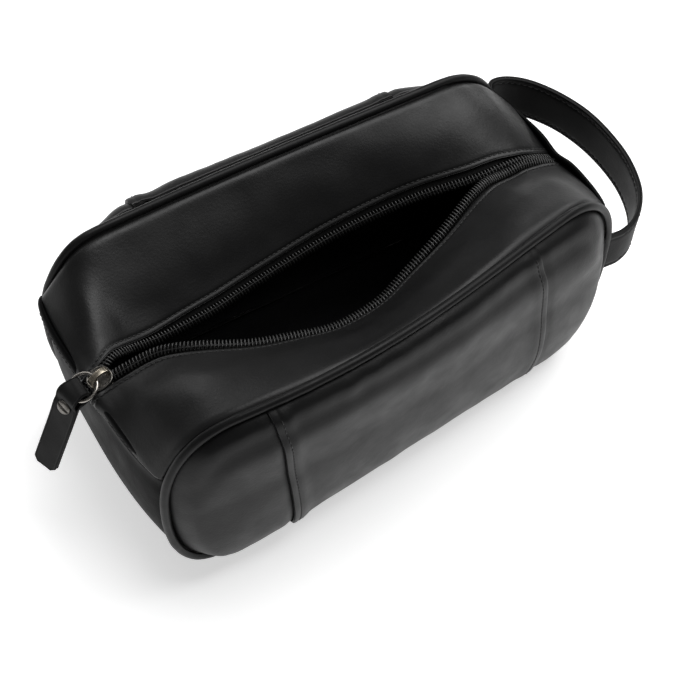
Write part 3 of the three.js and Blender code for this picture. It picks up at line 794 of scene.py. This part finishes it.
SEAM_DIP = 4.0  # the end seams drop where the zip runs into them
CURL = 3.0  # the strip's folded end stands up and leans over the flaps
STRIP_END_MARKS = (0, 0.35, 0.8, 1.4, 2.1, 2.9, 3.6, 4.3, 5.2, 6.6, 8.4, 10.6, 13)
STRIP_STITCH = STRIP_END_MARKS.index(3.6)


def seam_curve(end, t):
    """The seam across one end of the bag; t runs from -1 at the front to 1 at the back."""
    reach, height = corner(1, True, SEAM_ANGLE, SEAM_ANGLE, 0, 1)[0]
    bulge = 1 - np.abs(t) ** 4
    y = t * half_depth(end * reach)
    z = height - SEAM_DIP * bell(y, 9) + 0.6 * bulge
    return xyz(end * (reach + END_BULGE * bulge), y, z)


def strip_surface(run, across, lift):
    """A point of the strip: run is the distance from the slider-end seam round the base."""
    inside = np.clip(run, 0, BASE_LENGTH)
    flat = along(BASE_OUTLINE, inside)
    tangent = unit(along(BASE_OUTLINE, inside + 1.0) - along(BASE_OUTLINE, inside - 1.0))
    normal = xyz(tangent[..., 1], 0, -tangent[..., 0])
    front = face_point(FRONT, flat[..., 0], flat[..., 1])
    back = face_point(BACK, flat[..., 0], flat[..., 1])
    width = np.linalg.norm(back - front, axis=-1)
    tuck = EDGE_INSET / width
    t = mix(tuck, 1 - tuck, across)
    edge = np.minimum(t, 1 - t) * width
    broad = 1 - np.abs(2 * t - 1) ** 3.2
    amount = mix(BASE_BULGE, END_BULGE, normal[..., 0] ** 2) * broad
    distance = np.minimum(inside, BASE_LENGTH - inside)
    share = 1 - smooth(distance / 14)
    end = np.where(run < BASE_LENGTH / 2, -1.0, 1.0)
    groove = 2.4 * roll(edge - GROOVE, 7) - GROOVE_DEPTH
    point = mix(front, back, t[..., None]) + normal * amount[..., None]
    drop = 0.9 * np.minimum(distance, 14)[..., None] * Z_AXIS
    point = mix(point, seam_curve(end, 2 * t - 1) - drop, share[..., None])
    beyond = np.maximum(-run, run - BASE_LENGTH).clip(0)[..., None]
    inward = xyz(-end, 0, 0)
    turn = beyond / CURL * 1.2
    point = point + CURL * (Z_AXIS * np.sin(turn) + inward * (1 - np.cos(turn)))
    outward = unit(normal * np.cos(turn) + Z_AXIS * np.sin(turn))
    soft = 0.7 * waves(point, 45, 8) * smooth(edge / 10)
    return point + outward * (groove + lift + soft)[..., None]


def end_and_base_strip():
    total = BASE_LENGTH + 2 * CURL
    run = spaced(total, STRIP_END_MARKS, 190, STRIP_END_MARKS) - CURL
    marks = np.array([0, 0.35, 0.8, 1.4, 2.2, 3.2, 4.6, 6.5, 9.0]) / 110
    across = np.concatenate([marks, np.linspace(0.115, 0.885, 34), 1 - marks[::-1]])
    from_end = np.minimum(run + CURL, BASE_LENGTH + CURL - run)
    lap = 1.3 * (1 - smooth((from_end - 5) / 8))
    lap = lap + sewn_edge(from_end, 3.6, 0.9, 0.4, 1.4, 0.4)
    top = strip_surface(*np.meshgrid(run, across, indexing="ij"), lap[:, None])
    z = top[..., 2]
    top[..., 2] = 0.5 * (z + np.sqrt(z * z + 0.09))  # flat where it rests on the floor
    normals = grid_normals(top, -Z_AXIS)
    # The strip's cover takes the leather copy with painted shade.
    place(sheet("end_and_base_strip_cover", top, normals, FOLDED - 0.2, SHADED_STRIP_LEATHER),
          "bag", "strip_leather", "end_and_base_strip")
    for end, row in (("left", STRIP_STITCH), ("right", -1 - STRIP_STITCH)):
        sew(f"{end}_end_stitches", top[row, 7:-7], normals[row, 7:-7], "strip_leather")


def strip_lining():
    run = np.linspace(10, BASE_LENGTH - 10, 120)
    across = np.linspace(0.03, 0.97, 40)
    top = strip_surface(*np.meshgrid(run, across, indexing="ij"), -LEATHER - 2.4)
    normals = grid_normals(top, Z_AXIS)
    top = top + normals * (1.4 + 1.3 * waves(top, 28, 9))[..., None]
    top[..., 2] = np.maximum(top[..., 2], 2.6)  # above the leather of the base
    line("strip_lining_cloth", top, normals, "strip_lining")


# ---------- zip ----------

SLIDER_X = -136.0
SLIDER_Z = 100.5
ZIP_SLOPE = 0.0222

# The open edge at each face, from the slider end to the loop end: x, distance from the bag's
# middle plane, height. The two rows of coil share their first and last stretches.
SLIDER_END_RUN = [
    (-144.3, 1.6, 93.6), (-143.8, 1.7, 96.9), (-142.2, 2.0, 98.9),
]
LOOP_END_RUN = [
    (121, 1.8, 102), (128, 1.5, 99.2), (134, 1.5, 96), (140, 1.4, 92), (142.8, 1.4, 89.5),
]
MOUTH = {
    FRONT: [
        (-137, 1.7, 100.2), (-132, 1.9, 101.7), (-128, 2.6, 103.6), (-124.5, 3.2, 105),
        (-120.5, 3.6, 106), (-114, 4.4, 107.6), (-107, 6.5, 110), (-98, 11.5, 112.5),
        (-88, 16.5, 112.5), (-66, 26, 109), (-45, 31, 105), (-22, 35, 101), (5, 33.5, 101),
        (22, 28.5, 103), (49, 22, 111), (75, 12.2, 114.6), (90, 6.5, 111.6), (99, 4.2, 107.6),
        (106, 3.4, 105.6), (114, 2.4, 104.2),
    ],
    BACK: [
        (-137, 3.4, 100.2), (-132, 5.4, 101.5), (-128, 7.4, 101.8), (-124.5, 8.9, 101.2),
        (-119.5, 10.2, 99), (-112, 12, 94.8), (-98, 13.2, 90.3), (-66, 14.8, 88), (-34, 19, 87),
        (10, 21.8, 88.5), (45, 19.5, 91.5), (66, 14.6, 95.5), (81, 9.4, 98.6), (92, 5.8, 100.6),
        (100, 4.2, 101.7), (107, 3.4, 102.4), (114, 2.6, 102.6),
    ],
}


def mouth_path(side):
    rows = SLIDER_END_RUN + MOUTH[side] + LOOP_END_RUN
    return curve_through([(x, side * y, z) for x, y, z in rows])


MOUTH_PATH = {side: mouth_path(side) for side in (FRONT, BACK)}


def flap_base(side, fraction, reach):
    """A point of the flap's surface: reach is the distance from the coil towards the piping."""
    lip = at_fraction(MOUTH_PATH[side], fraction)
    flat = at_fraction(TOP_OUTLINE, fraction)
    edge = face_point(side, flat[..., 0], flat[..., 1])
    width = np.linalg.norm(edge - lip, axis=-1)
    shown = TAPE_SHOWN[side]
    pinch = SLIDER_PINCH[side] * (1 - smooth((fraction - 0.1) / 0.18))
    pinch = pinch + LOOP_PINCH[side] * smooth((fraction - 0.84) / 0.1)
    pinch = pinch * (1 - smooth((reach - shown) / 15))
    share_out = ((reach - pinch * np.minimum(reach, shown)) / width)[..., None]
    point = mix(lip, edge, share_out)
    end = np.where(fraction < 0.5, -1.0, 1.0)
    share = (1 - smooth(np.minimum(fraction, 1 - fraction) / 0.085))[..., None]
    seam = seam_curve(end, side * share_out[..., 0])
    seam = mix(seam, lip, (1 - np.clip(share_out, 0, 1)) ** 8)
    point = mix(point, seam, share * np.clip(share_out, 0, 1))
    rise = FLAP_PUFF * np.sin(math.pi * np.clip(share_out, 0, 1)) ** 2
    reach = reach[..., None]
    dip = LIP_CURL[side] * smooth(reach / shown) * (1 - smooth((reach - shown) / 26))
    return point + (rise - dip) * (1 - share) * Z_AXIS, width


def flap_grid(side, fractions, start_reach, start_marks, middle, end_marks, stop_gap):
    """Points and normals of the flap's surface, and the distance of each from coil and piping."""
    _, width = flap_base(side, fractions, np.zeros_like(fractions))
    reach = start_reach + spaced(width - start_reach - stop_gap, start_marks, middle, end_marks)
    grid_fraction = np.broadcast_to(fractions[:, None], reach.shape)
    points, _ = flap_base(side, grid_fraction, reach)
    return points, grid_normals(points, Z_AXIS), reach, width[:, None] - reach


def flap_fractions(count, hold_back=0.0):
    u = np.linspace(0, 1, count)
    u = u - 0.75 * np.sin(2 * math.pi * u) / (2 * math.pi)
    return mix(hold_back, 1 - hold_back, u)


FLAP_MARKS = (0, 0.3, 0.7, 1.2, 1.7, 2.1, 2.5, 2.9, 3.4, 4.2, 5.4, 7.5, 10)
FLAP_STITCH = FLAP_MARKS.index(2.5)
ZIP_STITCH = 2.9  # from one stitch to the next beside the zip
TAPE_MARKS = (0, 0.5, 1, 2, 3, 4, 5, 6, 8, 10)


def zip_flap(face, side):
    points, normals, reach, to_piping = flap_grid(
        side, flap_fractions(230, 0.003), TAPE_SHOWN[side], FLAP_MARKS, 22, EDGE_MARKS,
        EDGE_INSET)
    from_edge = reach - TAPE_SHOWN[side]
    height = FLAP_TOP + sewn_edge(from_edge, 2.5, 0.8, 0.4, 0.9, 0.5)
    height = height - (FLAP_TOP + GROOVE_DEPTH) * (1 - roll(to_piping - GROOVE, 5))
    soft = 0.7 * waves(points, 55, 11) + 0.3 * waves(points, 20, 12)
    height = height + soft * smooth(from_edge / 14) * smooth(to_piping / 12)
    top = points + normals * height[..., None]
    normals = grid_normals(top, Z_AXIS)
    place(sheet(f"{face}_zip_flap_cover", top, normals, FOLDED - 0.2, FLAP_LEATHER),
          "bag", "flap_leather", f"{face}_zip_flap")
    path, normals = top[9:-9, FLAP_STITCH], normals[9:-9, FLAP_STITCH]
    sew(f"{face}_zip_stitches", path, normals, "flap_leather", ZIP_STITCH)


def zip_tape(face, side):
    points, normals, _, _ = flap_grid(
        side, flap_fractions(200, 0.004), -1.6, TAPE_MARKS, 2, (0, 0.5, 1), 20)
    shown = slice(None), slice(len(TAPE_MARKS) + 1)
    top = (points - normals)[shown]
    place(sheet(f"{face}_zip_tape_cloth", top, normals[shown], 0.5, ZIP_CLOTH, 2),
          "bag", "zip_tape", f"{face}_zip_tape")


def flap_lining(face, side):
    points, normals, reach, to_piping = flap_grid(
        side, flap_fractions(120, 0.02), TAPE_SHOWN[side] + 5, (0, 1), 20, (0, 1), 6)
    drop = 1.9 + 1.0 * waves(points, 26, 13) + 1.6 * (1 - roll(to_piping - 5, 9))
    top = points - normals * drop[..., None]
    line(f"{face}_flap_lining_cloth", top, -normals, f"{face}_flap_lining")


def zip_coil(face, side):
    """One row of nylon coil: a flattened helix sewn on the tape, with the cord in its middle."""
    path = MOUTH_PATH[side]
    total = lengths_along(path)[-1]
    turns = int(total / COIL_PITCH)
    steps = 14
    spots = np.linspace(0.3, total - 0.3, turns * steps)
    centre = along(path, spots)
    tangent = unit(along(path, spots + 0.6) - along(path, spots - 0.6))
    to_piping = flap_base(side, spots / total, np.full_like(spots, 3.0))[0] - centre
    outward = unit(to_piping - tangent * np.sum(to_piping * tangent, 1, keepdims=True))
    up = unit(np.cross(tangent, outward))
    up = up * np.sign(up[:, 2:3])
    phase = np.arange(len(spots)) / steps * 2 * math.pi
    wire = centre + outward * (COIL_HALF_WIDTH * powered(np.cos(phase), 0.8))[:, None]
    wire = wire + up * (COIL_HALF_HEIGHT * np.sin(phase))[:, None]
    place(tube(f"{face}_zip_coil_wire", wire, COIL_WIRE, 6, COIL_PLASTIC),
          "bag", "zip_coil", f"{face}_zip_coil")
    for name, height, radius in (("core", 0.0, 0.3), ("sewing", 1.25, 0.15)):
        bumps = height + (0.12 * np.sin(phase) if name == "sewing" else 0.0)
        row = centre + outward * 0.35 + up * (bumps * np.ones(len(spots)))[:, None]
        place(tube(f"{face}_zip_coil_{name}", row[::4], radius, 6, THREAD), "bag", "zip_coil")


# ---------- slider ----------

TRACK_TILT = math.atan(ZIP_SLOPE)
SLIDER_PLACE = np.array([SLIDER_X, 0.0, SLIDER_Z])
PLATE_GAP = 1.3
PLATE = 1.3
NOSE_UP = math.radians(14)  # the slider lies tipped up
NOSE_TURN = math.radians(8)  # and a little askew on the slack tape


def on_track(points):
    """Points round the slider's middle, turned and moved to its place on the zip."""
    return turned(turned(points, TRACK_TILT + NOSE_UP, 2), NOSE_TURN, 1) + SLIDER_PLACE


def oval(length, width, power=2.4, count=56):
    angle = round_angles(count)
    x = powered(np.cos(angle), 2 / power) * length / 2
    return xyz(x, powered(np.sin(angle), 2 / power) * width / 2, 0)


def plate_rings(length, width, levels):
    """Ovals at each (height, inset), from the lowest loop to the last."""
    return np.stack([oval(length - 2 * inset, width - 2 * inset) + Z_AXIS * height
                     for height, inset in levels])


def slider_body():
    top = PLATE_GAP + PLATE
    upper = plate_rings(13.0, 12.2, [
        (PLATE_GAP, 4.0), (PLATE_GAP, 1.0), (PLATE_GAP - 0.5, 0.75), (PLATE_GAP - 0.5, 0.3),
        (PLATE_GAP - 0.2, 0), (top - 0.3, 0), (top, 0.12), (top + 0.12, 0.4), (top, 0.75),
        (top - 0.3, 1.0), (top - 0.35, 1.6), (top - 0.25, 3.6), (top - 0.2, 5.2),
    ])
    place(ring_mesh("slider_top_plate", on_track(upper), DARK_METAL),
          "slider", "dark_metal", "slider_body")
    lower = plate_rings(12.4, 11.6, [
        (-top, 4.2), (-top, 0.9), (-top + 0.2, 0.3), (-top + 0.5, 0), (-PLATE_GAP - 0.2, 0),
        (-PLATE_GAP + 0.2, 0.3), (-PLATE_GAP + 0.2, 0.8), (-PLATE_GAP, 1.0), (-PLATE_GAP, 4.2),
    ])
    place(ring_mesh("slider_bottom_plate", on_track(lower), DARK_METAL), "slider", "dark_metal")
    post = plate_rings(3.4, 1.7, [(-PLATE_GAP - 0.3, 0.1), (0, 0), (PLATE_GAP + 0.3, 0.1)])
    post[..., 0] += 3.2
    place(ring_mesh("slider_post", on_track(post), DARK_METAL), "slider", "dark_metal")


def slider_crown():
    """The arched crown that holds the ring on top of the slider."""
    foot = PLATE_GAP + PLATE - 0.2
    angle = np.linspace(math.pi + 0.12, -0.12, 33)
    reach, rise = 5.3, 4.3
    path = xyz(-reach * np.cos(math.pi - angle), 0, foot + rise * powered(np.sin(angle), 0.62))
    tangent = tangents(path)
    up = xyz(-tangent[:, 2], 0, tangent[:, 0])
    section = rounded_section(1.65, 0.6, 0.42)
    widen = 1 + 0.25 * np.abs(np.cos(angle)) ** 3
    rings = swept(path, Y_AXIS * widen[:, None], up, section)
    place(ring_mesh("slider_crown_arch", on_track(rings), BRONZE_METAL),
          "slider", "bronze_metal", "slider_crown")


# ---------- ring and pull ----------

RING_RADIUS = 7.4
RING_WIRE = 0.75
RING_DROOP = math.radians(20)
RING_PIVOT = np.array([SLIDER_X - 2.7, 0.0, SLIDER_Z + PLATE_GAP + PLATE + 0.35 + 1.3])
RING_DIRECTION = np.array([-math.cos(RING_DROOP), 0.0, -math.sin(RING_DROOP)])
PULL_PIVOT = RING_PIVOT + RING_DIRECTION * 2 * RING_RADIUS
PULL_WIDTH = 13.5
PULL_FOLD_WIDTH = 12.2  # narrower where it passes through the ring
PULL_LEAF = 1.3
PULL_LOOP = 2.75  # from the pull's middle line to the middle of its leather, at the fold
PULL_TWIST = math.radians(22)  # the hanging end turns its face to the front
SCREW_FRACTION = 0.25


def pull_ring():
    angle = round_angles(96)
    centre = RING_PIVOT + RING_DIRECTION * RING_RADIUS
    path = centre + RING_RADIUS * (
        np.cos(angle)[:, None] * RING_DIRECTION + np.sin(angle)[:, None] * Y_AXIS)
    place(tube("pull_ring_wire", path, RING_WIRE, 16, RING_METAL, True),
          "ring", "dark_metal", "pull_ring")


def pull_line():
    """Side view of the pull's middle line, from the fold inside the ring to the free end."""
    inside = RING_PIVOT + RING_DIRECTION * (RING_RADIUS - 0.2)
    nearer = RING_PIVOT + RING_DIRECTION * (RING_RADIUS + 3.4)
    steps = [(-2.6, -4.2), (-6.2, -13), (-19.8, -45)]
    rest = [PULL_PIVOT + np.array([x, 0, z]) for x, z in steps]
    path = curve_through([inside, nearer, PULL_PIVOT, *rest])
    return along(path, np.linspace(0, lengths_along(path)[-1], 160))


PULL_LINE = pull_line()
PULL_TANGENT = tangents(PULL_LINE)
PULL_NORMAL = xyz(-PULL_TANGENT[:, 2], 0, PULL_TANGENT[:, 0])
PULL_NORMAL = PULL_NORMAL * np.sign(PULL_NORMAL[:1, 2:3])
PULL_RUN = lengths_along(PULL_LINE)
TWIST = PULL_TWIST * smooth((PULL_RUN - 3) / 12)[:, None]
PULL_SIDE = np.cos(TWIST) * Y_AXIS + np.sin(TWIST) * PULL_NORMAL
PULL_UP = np.cos(TWIST) * PULL_NORMAL - np.sin(TWIST) * Y_AXIS


def pull_leaf_height(run):
    """Half the distance between the middles of the two leaves."""
    nose = roll(run, 3.2)
    flat = smooth((run - 7.6) / 5)
    return mix(PULL_LOOP * nose, PULL_LEAF / 2 + 0.04, flat)


def pull_strap():
    """One strip of leather, folded through the ring and screwed to itself."""
    half = pull_leaf_height(PULL_RUN)[:, None]
    upper = PULL_LINE + PULL_UP * half
    lower = PULL_LINE - PULL_UP * half
    path = np.concatenate([upper[::-1], lower[1:]])
    side = np.concatenate([PULL_SIDE[::-1], PULL_SIDE[1:]])
    run = lengths_along(path)
    even = np.linspace(0, run[-1], 200)
    path = along(path, even)
    side = unit(spread(side, run, even))
    outward = unit(np.cross(tangents(path), side))
    outward = outward * np.sign(np.sum(outward[20] * PULL_UP[-20]))
    from_end = np.minimum(even, even[-1] - even)
    from_fold = np.abs(even - even[-1] / 2)
    clipped = 2.2 * (1 - np.clip(from_end / 2.2, 0, 1))
    across = np.linspace(-1, 1, 15)
    full = mix(PULL_FOLD_WIDTH, PULL_WIDTH, smooth(from_fold / 9))
    half_width = full / 2 - 0.5 - clipped
    press = bell(from_end - PULL_RUN[-1] * (1 - SCREW_FRACTION), 5)
    cup = 0.25 * across[None] ** 2 * (0.4 + press[:, None])
    top = path[:, None] + side[:, None] * (half_width[:, None] * across)[..., None]
    lift = PULL_LEAF / 2 + cup + 0.12 * waves(top, 9, 21)
    top = top + outward[:, None] * lift[..., None]
    normals = np.broadcast_to(outward[:, None], top.shape)
    place(sheet("pull_strap_leather", top, normals, PULL_LEAF, STRAP_LEATHER, 4),
          "pull", "strap_leather", "pull_strap")


def at_screw(points):
    """Points round the screw's axis, moved to its place on the pull."""
    k = int(SCREW_FRACTION * (len(PULL_LINE) - 1))
    return PULL_LINE[k] + points @ np.stack([PULL_TANGENT[k], PULL_SIDE[k], PULL_UP[k]])


def turned_rings(profile, count=48):
    angle = round_angles(count)
    return np.stack([xyz(r * np.cos(angle), r * np.sin(angle), z) for r, z in profile])


def pull_screw():
    """A round screw head with a straight slot, and the tubular nut behind the leather."""
    seat = PULL_LEAF + 0.25
    radii = [0.9, 0.9, 1.1, 3.5, 3.8, 3.8, 3.65, 3.3, 2.6, 1.9, 1.2, 0.6, 0.05]
    levels = [-1.2, seat, seat, seat, seat + 0.12, seat + 0.5, seat + 0.85, seat + 1.12,
              seat + 1.28, seat + 1.36, seat + 1.4, seat + 1.41, seat + 1.41]
    rings = turned_rings(list(zip(radii, levels)), 72)
    turn = 1.83
    beside = rings[..., 1] * math.cos(turn) - rings[..., 0] * math.sin(turn)
    cut = 1 - smooth((np.abs(beside) - 0.42) / 0.16)
    head = rings[..., 2] > seat + 0.45
    rings[..., 2] -= 0.75 * cut * head
    place(ring_mesh("pull_screw_head", at_screw(rings), DARK_METAL), "pull", "dark_metal",
          "pull_screw")
    back = -seat
    nut = turned_rings([(0.6, -1.1), (1.3, -1.1), (1.4, back), (3.6, back), (3.8, back - 0.15),
                        (3.8, back - 0.6), (3.5, back - 0.9), (0.2, back - 0.95)])
    place(ring_mesh("pull_screw_nut", at_screw(nut), DARK_METAL), "pull", "dark_metal",
          "pull_screw_post")


# ---------- carrying loop ----------

STRAP_WIDTH = 28.0
STRAP_LAYER = 1.45
STRAP_BACK_Z = 86.0
STRAP_FRONT_Z = 67.0
STRAP_MARKS = (0, 0.4, 0.9, 1.5, 2.1, 2.6, 3.1, 3.7, 4.6, 6)
STRAP_STITCH = STRAP_MARKS.index(2.6)
LOOP_STITCH = 3.4  # from one stitch to the next
STRAP_PLAN = [
    (137.5, 52.2), (139.2, 56), (143, 58.6), (149, 58), (157, 53.4), (165, 45), (173, 31.5),
    (178.2, 15), (180, -3), (178, -21), (172.5, -36.5), (164.5, -46.5), (157, -51.5),
    (149, -53), (143, -52.4), (137.5, -51.4),
]


def strap_path():
    """Middle line of the strap, from the back seam round to the front seam."""
    plan = curve_through(STRAP_PLAN)
    run = lengths_along(plan)
    free = np.interp(run, [run[48], run[-49]], [0, 1])
    z = mix(STRAP_BACK_Z, STRAP_FRONT_Z, free)
    path = np.concatenate([plan, z[:, None]], 1)
    return along(path, np.linspace(0, lengths_along(path)[-1], 190))


def bend_with_loop(piece):
    """The piece's placement, baked into its mesh."""
    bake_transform(piece)


def strap_layer(name, sign, node, end_node):
    """One layer of the strap; sign is 1 on the side away from the bag."""
    path = strap_path()
    tangent = tangents(path)
    outward = unit(xyz(-tangent[:, 1], tangent[:, 0], 0))
    width = STRAP_WIDTH - STRAP_LAYER
    across = spaced(width, STRAP_MARKS, 12, STRAP_MARKS) - width / 2
    edge = width / 2 - np.abs(across)
    lift = STRAP_LAYER + 0.05 + sewn_edge(edge, 2.6, 0.8, 0.28, 1.6, 0.35)
    top = path[:, None] + Z_AXIS * across[None, :, None]
    step = np.arange(len(path))
    lean = 0.05 * across * smooth(np.minimum(step, step[::-1]) / 40)[:, None]
    body = 0.25 * waves(top, 22, 31)
    top = top + outward[:, None] * (lean + body)[..., None]
    top = top + sign * outward[:, None] * lift[None, :, None]
    normals = grid_normals(top, sign * outward[:, None])
    piece = sheet(name, top, normals, STRAP_LAYER, STRAP_LEATHER)
    bend_with_loop(piece)
    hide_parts(node, end_node)
    for label, column in (("lower", STRAP_STITCH), ("upper", -1 - STRAP_STITCH)):
        run, up = top[14:-14, column], normals[14:-14, column]
        bend_with_loop(stitch_row(f"{name}_{label}_stitches", run, up, LOOP_STITCH))


# ---------- camera, floor and lights ----------

def add_camera():
    azimuth, elevation, tilt = (math.radians(angle) for angle in (-34.85, 54.75, 1.75))
    target, distance = Vector((2.6, 0, 30.7)) * MM, 951.2 * MM
    level = Vector((math.sin(azimuth), -math.cos(azimuth), 0)) * math.cos(elevation)
    back = level + Vector((0, 0, math.sin(elevation)))
    data = bpy.data.cameras.new("camera")
    data.lens = 93.5
    data.sensor_width = 36
    made = bpy.data.objects.new("camera", data)
    aim = back.to_track_quat("Z", "Y").to_matrix().to_4x4() @ Matrix.Rotation(tilt, 4, "Z")
    made.matrix_world = Matrix.Translation(target + back * distance) @ aim
    SCENE.collection.objects.link(made)
    SCENE.camera = made


def add_floor():
    half = 4000.0
    corners = [(-half, -half, 0), (half, -half, 0), (half, half, 0), (-half, half, 0)]
    floor = make_object("floor", corners, [(0, 1, 2, 3)], matt_floor("floor"))


def add_light(name, kind, position, target, energy, **values):
    data = bpy.data.lights.new(name, kind)
    data.energy = energy
    for key, value in values.items():
        setattr(data, key, value)
    made = bpy.data.objects.new(name, data)
    made.location = position
    made.rotation_mode = "QUATERNION"
    made.rotation_quaternion = (Vector(target) - Vector(position)).to_track_quat("-Z", "Y")
    SCENE.collection.objects.link(made)


PANEL_LIGHTS = (
    ("right_softbox", (0.8, 0.35, 0.5), 0.4, 2.0),
    ("front_glint", (0.28, -0.2, 0.52), 0.12, 0.33),
    ("back_softbox", (-0.15, 0.75, 0.6), 0.4, 1.3),
)


def add_lights():
    world = bpy.data.worlds.new("studio")
    world.use_nodes = True
    background = world.node_tree.nodes["Background"]
    background.inputs["Color"].default_value = (1, 1, 1, 1)
    background.inputs["Strength"].default_value = 0.13
    SCENE.world = world
    add_light("soft_key", "SUN", (0.56, 0.17, 1.6), (0, 0, 0), 2.0, angle=math.radians(42))
    for name, position, size, power in PANEL_LIGHTS:
        add_light(name, "AREA", position, (0, 0, 0.06), power,
                  shape="RECTANGLE", size=size, size_y=size)


# ---------- build ----------

def build():
    add_camera()
    for face, side in FACES:
        centre_panel(face, side)
        for end in (-1, 1):
            end_panel(face, side, end)
        panel_lining(face, side)
        piping(face, side)
        zip_flap(face, side)
        zip_tape(face, side)
        flap_lining(face, side)
        zip_coil(face, side)
    end_and_base_strip()
    strip_lining()
    slider_body()
    slider_crown()
    pull_ring()
    pull_strap()
    pull_screw()
    strap_layer("loop_strap_leather", -1, "loop_strap", "loop_back_end")
    strap_layer("loop_backing_leather", 1, "loop_strap_backing", "loop_front_end")
    add_floor()
    add_lights()
    SCENE.view_settings.view_transform = "Standard"


build()
